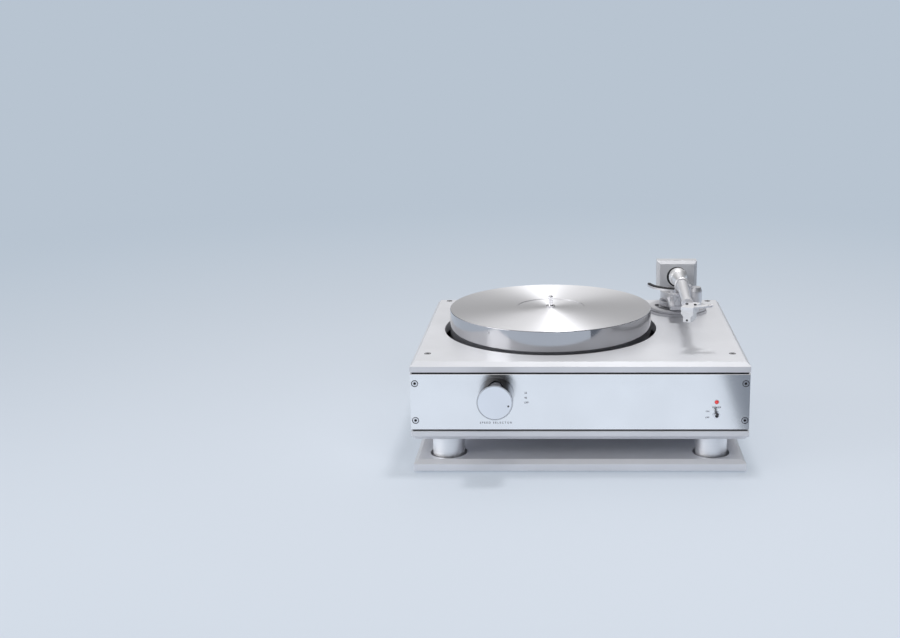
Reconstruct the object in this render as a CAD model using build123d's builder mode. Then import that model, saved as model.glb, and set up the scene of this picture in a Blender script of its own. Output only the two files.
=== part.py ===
from build123d import *
import math
import os

# A free-standing record player, in millimetres. The origin is on the surface that it stands on,
# under the centre of its footprint. X points right, Y to the back and Z up.

# Stack of plates and panels, from the surface up
plinth_w = 482.0
plinth_d = 393.0
pad_h = 2.5
base_t = 17.0
leg_gap = 31.0
bottom_t = 13.5
seam = 2.5
panel_h = 82.0
top_t = 14.5
plate_chamfer = 6.0
underside_chamfer = 1.2
edge_break = 0.5
base_inset = 2.0

# Box of panels
front_t = 10.0
side_t = 13.4
rear_t = 6.5
seam_depth = 2.5
post_side = 13.9
post_inset_x = 20.5
post_inset_front = 48.0
post_inset_rear = 14.0

# Legs, their wells and what they rest on
leg_r = 23.0
leg_inset_x = 49.5
leg_inset_y = 38.0
leg_well_gap = 4.0
leg_well_depth = 12.0
puck_r = 24.0
puck_h = 6.0
pad_r = 20.0
pad_inset = 60.0

# Fasteners
screw_head_r = 4.7
screw_shank_r = 2.5
screw_socket_r = 2.2
screw_socket_depth = 2.4
plate_screw_l = 24.0
panel_screw_l = 21.0
panel_screw_rise = 13.7
bolt_head_r = 4.2
bolt_head_h = 5.0
bolt_bite = 8.0
sink_angle = 90.0
hole_past = 1.0

# Clearances: a piece that turns or slides in another, one that stays put, and a screw in its hole
running = 0.05
seat = 0.1
hole_gap = 0.25

# Platter, its round well and the main bearing
platter_x = -44.8
platter_from_front = 203.5
platter_r = 156.75
platter_t = 45.0
platter_rise = 33.0
platter_edge_r = 1.2
well_gap = 8.65
label_r = 52.5
label_depth = 0.8
shaft_r = 6.0
spindle_r = 3.6
spindle_rise = 17.0
spindle_step = 3.0
spindle_root_r = 4.4
spindle_round = 1.8
collar_r = 7.5
collar_h = 2.6
sub_platter_r = 80.0
sub_platter_t = 18.0
sub_platter_lift = 4.0
sub_chassis_t = 8.0
sub_chassis_w = 350.0
sub_chassis_d = 340.0
sub_chassis_corner = 60.0
standoff_r = 6.0
standoff_x = 150.0
standoff_y = 100.0
housing_r = 15.0
housing_flange_r = 30.0
housing_flange_t = 5.0
housing_l = 60.0
housing_floor = 6.0
housing_rise = 2.0
bush_r = 9.0
ball_r = 4.0

# Motor and flat belt
motor_r = 26.0
motor_h = 45.0
motor_boss_r = 10.0
motor_distance = 112.0
motor_bearing_deg = 225.0
pulley_r = 12.0
pulley_h = 16.0
pulley_shaft_r = 2.0
pulley_shaft_l = 36.0
belt_h = 6.0
belt_t = 0.8
belt_clearance = 0.35

# Front controls
knob_x = -119.0
knob_drop = 47.0
knob_r = 25.2
knob_l = 37.2
knob_bevel = 1.7
knob_gap = 0.8
knob_shaft_r = 3.0
knob_shaft_l = 18.0
dimple_r = 2.0
dimple_from_axis = 19.5
dimple_deg = -14.5
selector_side = 28.0
selector_t = 18.0
selector_bush_r = 4.75
switch_x = 193.6
toggle_drop = 77.0
toggle_bush_r = 3.6
toggle_bush_out = 5.0
toggle_nut_r = 5.6
toggle_nut_t = 1.8
toggle_body_w = 13.0
toggle_body_h = 20.0
toggle_body_t = 14.0
toggle_ball_r = 2.2
toggle_ball_gap = 0.35
toggle_lever_l = 12.0
toggle_root_r = 1.0
toggle_tip_r = 1.9
toggle_tilt = 25.0
toggle_pin_r = 0.8
toggle_pin_l = 6.2
lamp_drop = 58.0
lamp_r = 2.85
lamp_out = 1.0
lamp_l = 16.0

# Back panel sockets
inlet_x = 150.0
inlet_drop = 62.0
inlet_flange_w = 48.0
inlet_flange_h = 26.0
inlet_flange_t = 2.5
inlet_body_w = 30.0
inlet_body_h = 22.5
inlet_body_l = 24.0
inlet_mouth_w = 24.5
inlet_mouth_h = 17.0
inlet_mouth_l = 18.0
pin_w = 2.0
pin_h = 4.0
pin_l = 15.0
pin_spread = 7.0
pin_rise = 2.0
socket_x = -60.0
socket_pitch = 24.0
socket_drop = 50.0
socket_flange_r = 6.5
socket_flange_t = 2.5
socket_barrel_r = 4.15
socket_barrel_l = 9.5
socket_bore_r = 1.7
socket_tail_l = 12.0
post_x = -105.0
ground_head_r = 5.0
ground_head_l = 8.0
ground_stud_r = 2.5

# Inside the box
board_x = 150.0
board_from_front = 95.0
board_w = 120.0
board_d = 90.0
board_t = 1.6
board_lift = 8.0
board_post_r = 3.0
chip_w = 14.0
chip_h = 4.0
chip_pitch = 28.0
board_post_inset = 12.0
transformer_x = 110.0
transformer_from_front = 205.0
transformer_r = 42.0
transformer_core_r = 14.0
transformer_h = 38.0

# Tonearm base: heights are above the top plate, and sides are from the arm's upright axis
arm_x = 163.2
arm_from_front = 309.3
flange_r = 48.0
flange_h = 9.0
flange_lower_h = 4.2
flange_groove = 1.2
flange_groove_depth = 2.6
flange_tube_r = 22.0
flange_tube_l = 22.0
flange_slot_r = 34.0
flange_slot_w = 6.6
flange_slot_depth = 5.0
pillar_tube_r = 20.0
pillar_gap = 3.0
pillar_collar_r = 30.0
pillar_collar_h = 7.0
pillar_neck_r = 22.0
tower_r = 29.0
tower_low = 21.5
tower_top = 35.0
tower_round = 4.0
lead_r = 4.0
boss_x = 28.5
boss_y = -21.0
boss_r = 9.25
boss_low = 20.2
boss_top = 37.0
dial_top = 44.8
dial_lip = 1.2
dial_top_r = 7.2
dial_pin_r = 2.5
dial_pin_l = 8.0
dial_gap = 0.4

# Rest, lift and cueing lever
bracket_x = -8.0
bracket_w = 22.0
bracket_low = 21.5
bracket_t = 6.0
bracket_reach = 84.0
lift_r = 49.0
lift_w = 6.0
lift_top = 49.1
lift_metal_t = 3.1
lift_pad_t = 2.2
lift_start_deg = 192.0
lift_end_deg = 256.0
plunger_r = 2.5
plunger_hub_r = 4.6
plunger_hub_h = 2.0
sleeve_r = 4.6
lift_travel = 6.0
rest_y = -76.0
rest_t = 10.0
rest_floor = 46.2
rest_wall_t = 3.0
rest_wall_top = 60.0
rest_gap = 1.0
clip_pin_r = 1.2
clip_r = 3.9
clip_hole_r = 2.1
clip_t = 2.4
clip_height = 32.4
clip_reach = 9.9
lever_y = -40.0
lever_shaft_r = 1.5
lever_rod_r = 1.6
lever_l = 27.0
lever_tilt = 20.0
lever_tab_r = 3.4
lever_side = 3.9
lever_root_r = 3.0

# Arm
pivot_h = 57.0
yoke_post_r = 7.0
yoke_shoulder_r = 12.0
yoke_shoulder_t = 2.6
yoke_gap = 0.4
yoke_head_r = 6.0
yoke_head_rise = 6.0
yoke_depth = 15.0
hub_r = 15.1
hub_slot_w = 13.0
hub_slot_l = 18.0
hub_slot_rise = 7.4
pivot_pin_r = 1.5
pivot_pin_l = 12.7
pivot_head_r = 2.6
pivot_head_l = 4.2
hub_screw_r = 1.9
hub_screw_deg = 37.0
hub_screw_l = 4.0
neck_reach = 59.0
neck_side = 1.3
neck_rise = 0.5
neck_root = 8.0
neck_root_r = 11.6
neck_r = 6.6
neck_taper_l = 32.0
stub_r = 8.0
stub_l = 66.0
stub_drop = 8.2
stub_side = 1.7
ring_r = 12.0
ring_l = 9.0
ring_back = 3.0
ring_back_gap = 0.4
tube_rear_r = 9.2
tube_front_r = 6.8
tube_bore_r = 5.2
tube_start = 0.8
tube_front_x = -4.7
tube_front_y = -209.3
tube_front_h = 63.6
weight_w = 67.0
weight_h = 50.0
weight_t = 28.0
weight_chamfer = 5.0
weight_gap = 38.0
weight_bore_r = 17.2
weight_rise = 1.9

# Headshell and cartridge: placed by the centre of the plate
shell_x = -2.6
shell_y = -243.3
shell_top = 68.0
shell_t = 3.6
shell_w = 18.5
shell_l = 37.0
shell_yaw = 23.0
socket_r = 8.8
socket_l = 24.0
socket_overlap = 6.0
shell_screw_r = 1.3
shell_screw_head_r = 2.1
shell_screw_head_h = 1.6
shell_screw_pitch = 12.7
shell_screw_forward = -1.0
lift_tab_l = 25.5
lift_tab_w = 10.0
lift_tab_t = 2.4
lift_tab_tilt = 6.0
lift_tab_forward = -7.0
lift_tab_dimple_r = 2.6
lift_tab_dimple = 0.8
lift_tab_round = 4.2
cartridge_w = 18.0
cartridge_foot_w = 11.6
cartridge_shoulder = 7.0
cartridge_slope = 3.0
cartridge_h = 18.4
cartridge_l = 29.0
cartridge_forward = 3.5
stylus_rod_r = 0.4
stylus_rod_l = 7.0
stylus_tilt = 22.0
stylus_tip_r = 0.1
stylus_tip_h = 0.9

# Levels and places that follow from these
base_low = pad_h
base_top = base_low + base_t
bottom_low = base_top + leg_gap
bottom_top = bottom_low + bottom_t
panel_low = bottom_top + seam
panel_top = panel_low + panel_h
top_low = panel_top + seam
deck = top_low + top_t
front = -plinth_d / 2
rear = plinth_d / 2
side = plinth_w / 2
inner_front = front + front_t
inner_rear = rear - rear_t
platter_y = front + platter_from_front
platter_top = deck + platter_rise
platter_low = platter_top - platter_t
sub_platter_low = platter_low - sub_platter_t
sub_chassis_top = sub_platter_low - sub_platter_lift
sub_chassis_low = sub_chassis_top - sub_chassis_t
motor_x = platter_x + motor_distance * math.cos(math.radians(motor_bearing_deg))
motor_y = platter_y + motor_distance * math.sin(math.radians(motor_bearing_deg))
arm_y = front + arm_from_front
leg_well_low = base_top - leg_well_depth
leg_low = leg_well_low + puck_h
tapped_r = screw_shank_r + running
clear_r = screw_shank_r + hole_gap
sink_r = screw_head_r + seat

# Repeated places
leg_places = {
    "leg_front_left": (-side + leg_inset_x, front + leg_inset_y),
    "leg_front_right": (side - leg_inset_x, front + leg_inset_y),
    "leg_rear_left": (-side + leg_inset_x, rear - leg_inset_y),
    "leg_rear_right": (side - leg_inset_x, rear - leg_inset_y),
}
post_places = [
    (-side + post_inset_x, front + post_inset_front),
    (side - post_inset_x, front + post_inset_front),
    (-side + post_inset_x, rear - post_inset_rear),
    (side - post_inset_x, rear - post_inset_rear),
]
panel_screw_x = side - side_t / 2
panel_screw_places = [
    (x, z)
    for x in (-panel_screw_x, panel_screw_x)
    for z in (panel_low + panel_screw_rise, panel_top - panel_screw_rise)
]
standoff_places = [
    (platter_x + x, platter_y + y)
    for x in (-standoff_x, standoff_x)
    for y in (-standoff_y, standoff_y)
]

# Shapes stand on their plane, or end at it
ON = (Align.CENTER, Align.CENTER, Align.MIN)
UNDER = (Align.CENTER, Align.CENTER, Align.MAX)

os.makedirs("parts", exist_ok=True)


def save(builder, name):
    """Labels a finished sub-part and writes it."""
    builder.part.label = name
    export_step(builder.part, f"parts/{name}.step")


def facing(point, direction):
    """A plane at a point that looks along a direction."""
    return Plane(origin=point, z_dir=direction)


def towards(start, end):
    """A plane at start that looks at end."""
    return Plane(origin=start, z_dir=Vector(*end) - Vector(*start))


def front_view(x, z, y=front):
    """A plane on the front panel that looks out at the viewer."""
    return Plane(origin=(x, y, z), x_dir=(1, 0, 0), z_dir=(0, -1, 0))


def rear_view(x, z, y=rear):
    """A plane on the back panel that looks out at the viewer."""
    return Plane(origin=(x, y, z), x_dir=(-1, 0, 0), z_dir=(0, 1, 0))


def countersunk_screw(length):
    """A countersunk screw with a hex socket. Its flat head is at z = 0 and it points down."""
    with BuildPart() as screw:
        with BuildSketch(Plane.XZ):
            with BuildLine():
                Polyline(
                    (0, 0),
                    (screw_head_r, 0),
                    (screw_shank_r, screw_shank_r - screw_head_r),
                    (screw_shank_r, -length),
                    (0, -length),
                    close=True,
                )
            make_face()
        revolve(axis=Axis.Z)
        with BuildSketch():
            RegularPolygon(screw_socket_r, 6)
        extrude(amount=-screw_socket_depth, mode=Mode.SUBTRACT)
    return screw.part


# Base plate: four wells hold the legs
with BuildPart(Plane.XY.offset(base_low)) as base_plate:
    Box(plinth_w - 2 * base_inset, plinth_d - 2 * base_inset, base_t, align=ON)
    chamfer(base_plate.faces().sort_by(Axis.Z)[-1].edges(), plate_chamfer)
    chamfer(base_plate.faces().sort_by(Axis.Z)[0].edges(), underside_chamfer)
    for x, y in leg_places.values():
        with Locations((x, y, base_t)):
            Cylinder(leg_r + leg_well_gap, leg_well_depth, align=UNDER, mode=Mode.SUBTRACT)
save(base_plate, "base_plate")

# Pads under the base plate: one near each corner and one in the middle
with BuildPart() as base_pads:
    Cylinder(pad_r, pad_h, align=ON)
    for x in (-side + pad_inset, side - pad_inset):
        for y in (front + pad_inset, rear - pad_inset):
            with Locations((x, y, 0)):
                Cylinder(pad_r, pad_h, align=ON)
save(base_pads, "base_pads")

with BuildPart(Plane.XY.offset(leg_well_low)) as isolator_pucks:
    for x, y in leg_places.values():
        with Locations((x, y, 0)):
            Cylinder(puck_r, puck_h, align=ON)
save(isolator_pucks, "isolator_pucks")

for name, (x, y) in leg_places.items():
    with BuildPart() as leg:
        with Locations((x, y, leg_low)):
            Cylinder(leg_r, bottom_low - leg_low, align=ON)
        chamfer(leg.edges().filter_by(GeomType.CIRCLE), edge_break)
        with Locations((x, y, bottom_low)):
            Cylinder(tapped_r, plate_screw_l - bottom_t + hole_past, align=UNDER, mode=Mode.SUBTRACT)
    save(leg, name)

# Bottom plate: leg screws enter from inside, post screws from below
with BuildPart(Plane.XY.offset(bottom_low)) as bottom_plate:
    Box(plinth_w, plinth_d, bottom_t, align=ON)
    chamfer(bottom_plate.faces().sort_by(Axis.Z)[0].edges(), plate_chamfer)
    chamfer(bottom_plate.faces().sort_by(Axis.Z)[-1].edges(), edge_break)
    for x, y in leg_places.values():
        with Locations((x, y, bottom_t)):
            CounterSinkHole(clear_r, sink_r, bottom_t, sink_angle)
    for x, y in post_places:
        with Locations(facing((x, y, 0), (0, 0, -1))):
            CounterSinkHole(clear_r, sink_r, bottom_t, sink_angle)
save(bottom_plate, "bottom_plate")

# Front panel: holes for the selector, the lamp, the switch and four screws
knob_z = deck - knob_drop
toggle_z = deck - toggle_drop
lamp_z = deck - lamp_drop
panel_middle = (panel_low + panel_top) / 2
with BuildPart() as front_panel:
    with Locations((0, front + front_t / 2, panel_middle)):
        Box(plinth_w, front_t, panel_h)
    chamfer(front_panel.faces().sort_by(Axis.Y)[0].edges(), edge_break)
    for x, z in panel_screw_places:
        with Locations(front_view(x, z)):
            CounterSinkHole(clear_r, sink_r, front_t, sink_angle)
    with Locations(front_view(knob_x, knob_z)):
        Cylinder(selector_bush_r + hole_gap, front_t, align=UNDER, mode=Mode.SUBTRACT)
    with Locations(front_view(switch_x, toggle_z)):
        Cylinder(toggle_bush_r + hole_gap, front_t, align=UNDER, mode=Mode.SUBTRACT)
    with Locations(front_view(switch_x, lamp_z)):
        Cylinder(lamp_r + seat, front_t, align=UNDER, mode=Mode.SUBTRACT)
save(front_panel, "front_panel")

# Back panel: holes for the mains inlet, the sockets, the ground post and four screws
inlet_z = deck - inlet_drop
socket_z = deck - socket_drop
socket_places = [(socket_x, socket_z), (socket_x + socket_pitch, socket_z)]
with BuildPart() as rear_panel:
    with Locations((0, rear - rear_t / 2, panel_middle)):
        Box(plinth_w, rear_t, panel_h)
    chamfer(rear_panel.faces().sort_by(Axis.Y)[-1].edges(), edge_break)
    for x, z in panel_screw_places:
        with Locations(rear_view(x, z)):
            CounterSinkHole(clear_r, sink_r, rear_t, sink_angle)
    with Locations(rear_view(inlet_x, inlet_z)):
        Box(inlet_body_w + 2 * seat, inlet_body_h + 2 * seat, rear_t, align=UNDER, mode=Mode.SUBTRACT)
    for x, z in socket_places:
        with Locations(rear_view(x, z)):
            Cylinder(socket_barrel_r + seat, rear_t, align=UNDER, mode=Mode.SUBTRACT)
    with Locations(rear_view(post_x, socket_z)):
        Cylinder(ground_stud_r + seat, rear_t, align=UNDER, mode=Mode.SUBTRACT)
save(rear_panel, "rear_panel")

# Side panels: their ends take the screws of the front and back panels
side_l = inner_rear - inner_front
for name, x in (("side_panel_left", -panel_screw_x), ("side_panel_right", panel_screw_x)):
    with BuildPart() as side_panel:
        with Locations((x, (inner_front + inner_rear) / 2, panel_middle)):
            Box(side_t, side_l, panel_h)
        for screw_x, z in panel_screw_places:
            if screw_x == x:
                with Locations(front_view(x, z, inner_front)):
                    Cylinder(tapped_r, panel_screw_l - front_t + hole_past, align=UNDER, mode=Mode.SUBTRACT)
                with Locations(rear_view(x, z, inner_rear)):
                    Cylinder(tapped_r, panel_screw_l - rear_t + hole_past, align=UNDER, mode=Mode.SUBTRACT)
    save(side_panel, name)

# Corner posts tie the top plate to the bottom plate
with BuildPart(Plane.XY.offset(bottom_top)) as corner_posts:
    for x, y in post_places:
        with Locations((x, y, 0)):
            Box(post_side, post_side, top_low - bottom_top, align=ON)
            Cylinder(tapped_r, plate_screw_l - bottom_t + hole_past, align=ON, mode=Mode.SUBTRACT)
        with Locations((x, y, top_low - bottom_top)):
            Cylinder(tapped_r, plate_screw_l - top_t + hole_past, align=UNDER, mode=Mode.SUBTRACT)
save(corner_posts, "corner_posts")

# Gasket strips fill the seams and stand back from the panels' faces, which leaves dark lines
with BuildPart() as gasket_strips:
    strip_l = plinth_w - 2 * seam_depth
    for z in (bottom_top, panel_top):
        with Locations((0, front + (seam_depth + front_t) / 2, z)):
            Box(strip_l, front_t - seam_depth, seam, align=ON)
        with Locations((0, rear - (seam_depth + rear_t) / 2, z)):
            Box(strip_l, rear_t - seam_depth, seam, align=ON)
        for sign in (-1, 1):
            with Locations((sign * (side - (seam_depth + side_t) / 2), (inner_front + inner_rear) / 2, z)):
                Box(side_t - seam_depth, side_l - 2 * seat, seam, align=ON)
save(gasket_strips, "gasket_strips")

# Top plate: the platter's well, the arm's hole, and blind holes for the sub-chassis bolts
well_r = platter_r + well_gap
with BuildPart(Plane.XY.offset(top_low)) as top_plate:
    Box(plinth_w, plinth_d, top_t, align=ON)
    chamfer(top_plate.faces().sort_by(Axis.Z)[-1].edges(), plate_chamfer)
    chamfer(top_plate.faces().sort_by(Axis.Z)[0].edges(), edge_break)
    with Locations((platter_x, platter_y, 0)):
        Cylinder(well_r, top_t, align=ON, mode=Mode.SUBTRACT)
    with Locations((arm_x, arm_y, 0)):
        Cylinder(flange_tube_r + seat, top_t, align=ON, mode=Mode.SUBTRACT)
    for x, y in standoff_places:
        with Locations((x, y, 0)):
            Cylinder(tapped_r, bolt_bite + hole_past, align=ON, mode=Mode.SUBTRACT)
    for x, y in post_places:
        with Locations((x, y, top_t)):
            CounterSinkHole(clear_r, sink_r, top_t, sink_angle)
save(top_plate, "top_plate")

# Identical plate screws: four in the top plate, four in the legs, four under the posts
plate_screw = countersunk_screw(plate_screw_l)
with BuildPart() as plate_screws:
    for x, y in post_places:
        with Locations((x, y, deck), facing((x, y, bottom_low), (0, 0, -1))):
            add(plate_screw)
    for x, y in leg_places.values():
        with Locations((x, y, bottom_top)):
            add(plate_screw)
save(plate_screws, "plate_screws")

panel_screw = countersunk_screw(panel_screw_l)
with BuildPart() as panel_screws:
    for x, z in panel_screw_places:
        with Locations(front_view(x, z), rear_view(x, z)):
            add(panel_screw)
save(panel_screws, "panel_screws")

# Sub-chassis: the plate under the well that carries the bearing and the motor
with BuildPart(Plane.XY.offset(sub_chassis_low)) as sub_chassis:
    with Locations((platter_x, platter_y, 0)):
        Box(sub_chassis_w, sub_chassis_d, sub_chassis_t, align=ON)
    chamfer(sub_chassis.edges().filter_by(Axis.Z), sub_chassis_corner)
    with Locations((platter_x, platter_y, 0)):
        Cylinder(housing_r + seat, sub_chassis_t, align=ON, mode=Mode.SUBTRACT)
    with Locations((motor_x, motor_y, 0)):
        Cylinder(motor_boss_r + seat, sub_chassis_t, align=ON, mode=Mode.SUBTRACT)
    for x, y in standoff_places:
        with Locations((x, y, 0)):
            Cylinder(clear_r, sub_chassis_t, align=ON, mode=Mode.SUBTRACT)
save(sub_chassis, "sub_chassis")

with BuildPart(Plane.XY.offset(sub_chassis_top)) as standoffs:
    for x, y in standoff_places:
        with Locations((x, y, 0)):
            Cylinder(standoff_r, top_low - sub_chassis_top, align=ON)
            Cylinder(clear_r, top_low - sub_chassis_top, align=ON, mode=Mode.SUBTRACT)
save(standoffs, "standoffs")

with BuildPart() as sub_chassis_bolts:
    for x, y in standoff_places:
        with Locations((x, y, sub_chassis_low)):
            Cylinder(bolt_head_r, bolt_head_h, align=UNDER)
            Cylinder(screw_shank_r, top_low + bolt_bite - sub_chassis_low, align=ON)
save(sub_chassis_bolts, "sub_chassis_bolts")

# Main bearing: the shaft turns in a bush and stands on a ball on the floor of the housing
housing_low = sub_chassis_top + housing_rise - housing_l
bearing_floor = housing_low + housing_floor
ball_top = bearing_floor + 2 * ball_r
bush_low = ball_top + hole_gap
housing_top = housing_low + housing_l
with BuildPart() as bearing_housing:
    with Locations((platter_x, platter_y, housing_low)):
        Cylinder(housing_r, housing_l, align=ON)
    with Locations((platter_x, platter_y, sub_chassis_low)):
        Cylinder(housing_flange_r, housing_flange_t, align=UNDER)
    with Locations((platter_x, platter_y, bearing_floor)):
        Cylinder(bush_r + running, housing_top - bearing_floor, align=ON, mode=Mode.SUBTRACT)
save(bearing_housing, "bearing_housing")

with BuildPart() as bearing_bush:
    with Locations((platter_x, platter_y, bush_low)):
        Cylinder(bush_r, housing_top - bush_low, align=ON)
        Cylinder(shaft_r + running, housing_top - bush_low, align=ON, mode=Mode.SUBTRACT)
save(bearing_bush, "bearing_bush")

with BuildPart() as thrust_ball:
    with Locations((platter_x, platter_y, bearing_floor + ball_r)):
        Sphere(ball_r)
save(thrust_ball, "thrust_ball")

# The shaft carries the platter and ends in the record spindle
label_floor = platter_top - label_depth
shaft_low = ball_top + running
shaft_top = label_floor - spindle_step
spindle_top = platter_top + spindle_rise
with BuildPart() as bearing_shaft:
    with Locations((platter_x, platter_y, shaft_low)):
        Cylinder(shaft_r, shaft_top - shaft_low, align=ON)
    with Locations((platter_x, platter_y, shaft_top)):
        Cylinder(spindle_root_r, label_floor + collar_h - shaft_top, align=ON)
        Cylinder(spindle_r, spindle_top - shaft_top, align=ON)
    fillet(bearing_shaft.faces().sort_by(Axis.Z)[-1].edges(), spindle_round)
save(bearing_shaft, "bearing_shaft")

with BuildPart() as sub_platter:
    with Locations((platter_x, platter_y, sub_platter_low)):
        Cylinder(sub_platter_r, sub_platter_t, align=ON)
        Cylinder(shaft_r + seat, sub_platter_t, align=ON, mode=Mode.SUBTRACT)
save(sub_platter, "sub_platter")

with BuildPart() as platter:
    with Locations((platter_x, platter_y, platter_low)):
        Cylinder(platter_r, platter_t, align=ON)
    fillet(platter.faces().sort_by(Axis.Z)[-1].edges(), platter_edge_r)
    chamfer(platter.faces().sort_by(Axis.Z)[0].edges(), edge_break)
    with Locations((platter_x, platter_y, platter_top)):
        Cylinder(label_r, label_depth, align=UNDER, mode=Mode.SUBTRACT)
        Cylinder(shaft_r + seat, platter_t, align=UNDER, mode=Mode.SUBTRACT)
save(platter, "platter")

with BuildPart() as spindle_collar:
    with Locations((platter_x, platter_y, label_floor)):
        Cylinder(collar_r, collar_h, align=ON)
    chamfer(spindle_collar.faces().sort_by(Axis.Z)[-1].edges(), edge_break)
    with Locations((platter_x, platter_y, label_floor)):
        Cylinder(spindle_root_r + seat, collar_h, align=ON, mode=Mode.SUBTRACT)
save(spindle_collar, "spindle_collar")

# Motor, its pulley and the flat belt round pulley and sub-platter
pulley_low = sub_platter_low + (sub_platter_t - pulley_h) / 2
with BuildPart() as motor:
    with Locations((motor_x, motor_y, sub_chassis_low)):
        Cylinder(motor_r, motor_h, align=UNDER)
        Cylinder(motor_boss_r, sub_chassis_t, align=ON)
    with Locations((motor_x, motor_y, sub_chassis_top)):
        Cylinder(pulley_shaft_r + running, pulley_shaft_l, align=UNDER, mode=Mode.SUBTRACT)
save(motor, "motor")

with BuildPart() as motor_pulley:
    with Locations((motor_x, motor_y, pulley_low)):
        Cylinder(pulley_r, pulley_h, align=ON)
    with Locations((motor_x, motor_y, pulley_low)):
        Cylinder(pulley_shaft_r, pulley_shaft_l, align=UNDER)
save(motor_pulley, "motor_pulley")

belt_low = sub_platter_low + (sub_platter_t - belt_h) / 2
with BuildPart() as drive_belt:
    with BuildSketch(Plane.XY.offset(belt_low)):
        with Locations((platter_x, platter_y)):
            Circle(sub_platter_r + belt_clearance + belt_t)
        with Locations((motor_x, motor_y)):
            Circle(pulley_r + belt_clearance + belt_t)
        make_hull()
    extrude(amount=belt_h)
    with BuildSketch(Plane.XY.offset(belt_low)):
        with Locations((platter_x, platter_y)):
            Circle(sub_platter_r + belt_clearance)
        with Locations((motor_x, motor_y)):
            Circle(pulley_r + belt_clearance)
        make_hull()
    extrude(amount=belt_h, mode=Mode.SUBTRACT)
save(drive_belt, "drive_belt")

# Speed selector behind the front panel, and the knob with its shaft in the selector's bush
with BuildPart() as selector_switch:
    with Locations(front_view(knob_x, knob_z, inner_front)):
        Box(selector_side, selector_side, selector_t, align=UNDER)
        Cylinder(selector_bush_r, front_t, align=ON)
    with Locations(front_view(knob_x, knob_z)):
        Cylinder(knob_shaft_r + running, knob_shaft_l, align=UNDER, mode=Mode.SUBTRACT)
save(selector_switch, "selector_switch")

with BuildPart() as speed_knob:
    with Locations(front_view(knob_x, knob_z, front - knob_gap)):
        Cylinder(knob_r, knob_l, align=ON)
    chamfer(speed_knob.faces().sort_by(Axis.Y)[0].edges(), knob_bevel)
    with Locations(front_view(knob_x, knob_z, front - knob_gap)):
        Cylinder(knob_shaft_r, knob_shaft_l, align=UNDER)
    dimple_x = knob_x + dimple_from_axis * math.cos(math.radians(dimple_deg))
    dimple_z = knob_z + dimple_from_axis * math.sin(math.radians(dimple_deg))
    with Locations((dimple_x, front - knob_gap - knob_l - dimple_r / 2, dimple_z)):
        Sphere(dimple_r, mode=Mode.SUBTRACT)
save(speed_knob, "speed_knob")

# Toggle switch: its bush passes the panel, and the lever turns on a cross pin inside the bush
toggle_pivot = (switch_x, front - toggle_bush_out + toggle_ball_r, toggle_z)
with BuildPart() as toggle_body:
    with Locations(front_view(switch_x, toggle_z, inner_front)):
        Box(toggle_body_w, toggle_body_h, toggle_body_t, align=UNDER)
        Cylinder(toggle_bush_r, front_t + toggle_bush_out, align=ON)
    with BuildSketch(front_view(switch_x, toggle_z)):
        RegularPolygon(toggle_nut_r, 6)
    extrude(amount=toggle_nut_t)
    with Locations(front_view(switch_x, toggle_z, front - toggle_bush_out)):
        bore_r = toggle_ball_r + toggle_ball_gap
        Cylinder(bore_r, toggle_ball_r * 2 + toggle_ball_gap, align=UNDER, mode=Mode.SUBTRACT)
    with Locations(facing(toggle_pivot, (1, 0, 0))):
        Cylinder(toggle_pin_r + running, toggle_pin_l + 2 * seat, mode=Mode.SUBTRACT)
save(toggle_body, "toggle_body")

toggle_out = (0, -math.cos(math.radians(toggle_tilt)), math.sin(math.radians(toggle_tilt)))
with BuildPart() as toggle_lever:
    with Locations(toggle_pivot):
        Sphere(toggle_ball_r)
    with Locations(facing(toggle_pivot, (1, 0, 0))):
        Cylinder(toggle_pin_r, toggle_pin_l)
    with Locations(facing(toggle_pivot, toggle_out)):
        Cone(toggle_root_r, toggle_tip_r, toggle_lever_l, align=ON)
    with Locations(facing(toggle_pivot, toggle_out).offset(toggle_lever_l)):
        Sphere(toggle_tip_r)
save(toggle_lever, "toggle_lever")

with BuildPart() as power_lamp:
    with Locations(front_view(switch_x, lamp_z, front - lamp_out)):
        Cylinder(lamp_r, lamp_l, align=UNDER)
    fillet(power_lamp.faces().sort_by(Axis.Y)[0].edges(), lamp_out)
save(power_lamp, "power_lamp")

# Mains inlet with its mouth and three pins
with BuildPart() as mains_inlet:
    with Locations(rear_view(inlet_x, inlet_z)):
        Box(inlet_flange_w, inlet_flange_h, inlet_flange_t, align=ON)
        Box(inlet_body_w, inlet_body_h, inlet_body_l, align=UNDER)
    with Locations(rear_view(inlet_x, inlet_z, rear + inlet_flange_t)):
        Box(inlet_mouth_w, inlet_mouth_h, inlet_mouth_l, align=UNDER, mode=Mode.SUBTRACT)
    mouth_floor = rear + inlet_flange_t - inlet_mouth_l
    for x, z in ((-pin_spread, -pin_rise), (0, pin_rise), (pin_spread, -pin_rise)):
        with Locations((inlet_x + x, mouth_floor + pin_l / 2, inlet_z + z)):
            Box(pin_w, pin_l, pin_h)
save(mains_inlet, "mains_inlet")

with BuildPart() as output_sockets:
    for x, z in socket_places:
        with Locations(rear_view(x, z)):
            Cylinder(socket_flange_r, socket_flange_t, align=ON)
            Cylinder(socket_barrel_r, socket_flange_t + socket_barrel_l, align=ON)
            Cylinder(socket_barrel_r, socket_tail_l, align=UNDER)
        with Locations(rear_view(x, z, rear + socket_flange_t + socket_barrel_l)):
            Cylinder(socket_bore_r, socket_barrel_l, align=UNDER, mode=Mode.SUBTRACT)
save(output_sockets, "output_sockets")

with BuildPart() as ground_post:
    with Locations(rear_view(post_x, socket_z)):
        Cylinder(ground_head_r, ground_head_l, align=ON)
    chamfer(ground_post.faces().sort_by(Axis.Y)[-1].edges(), edge_break)
    with Locations(rear_view(post_x, socket_z)):
        Cylinder(ground_stud_r, socket_tail_l, align=UNDER)
save(ground_post, "ground_post")

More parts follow.
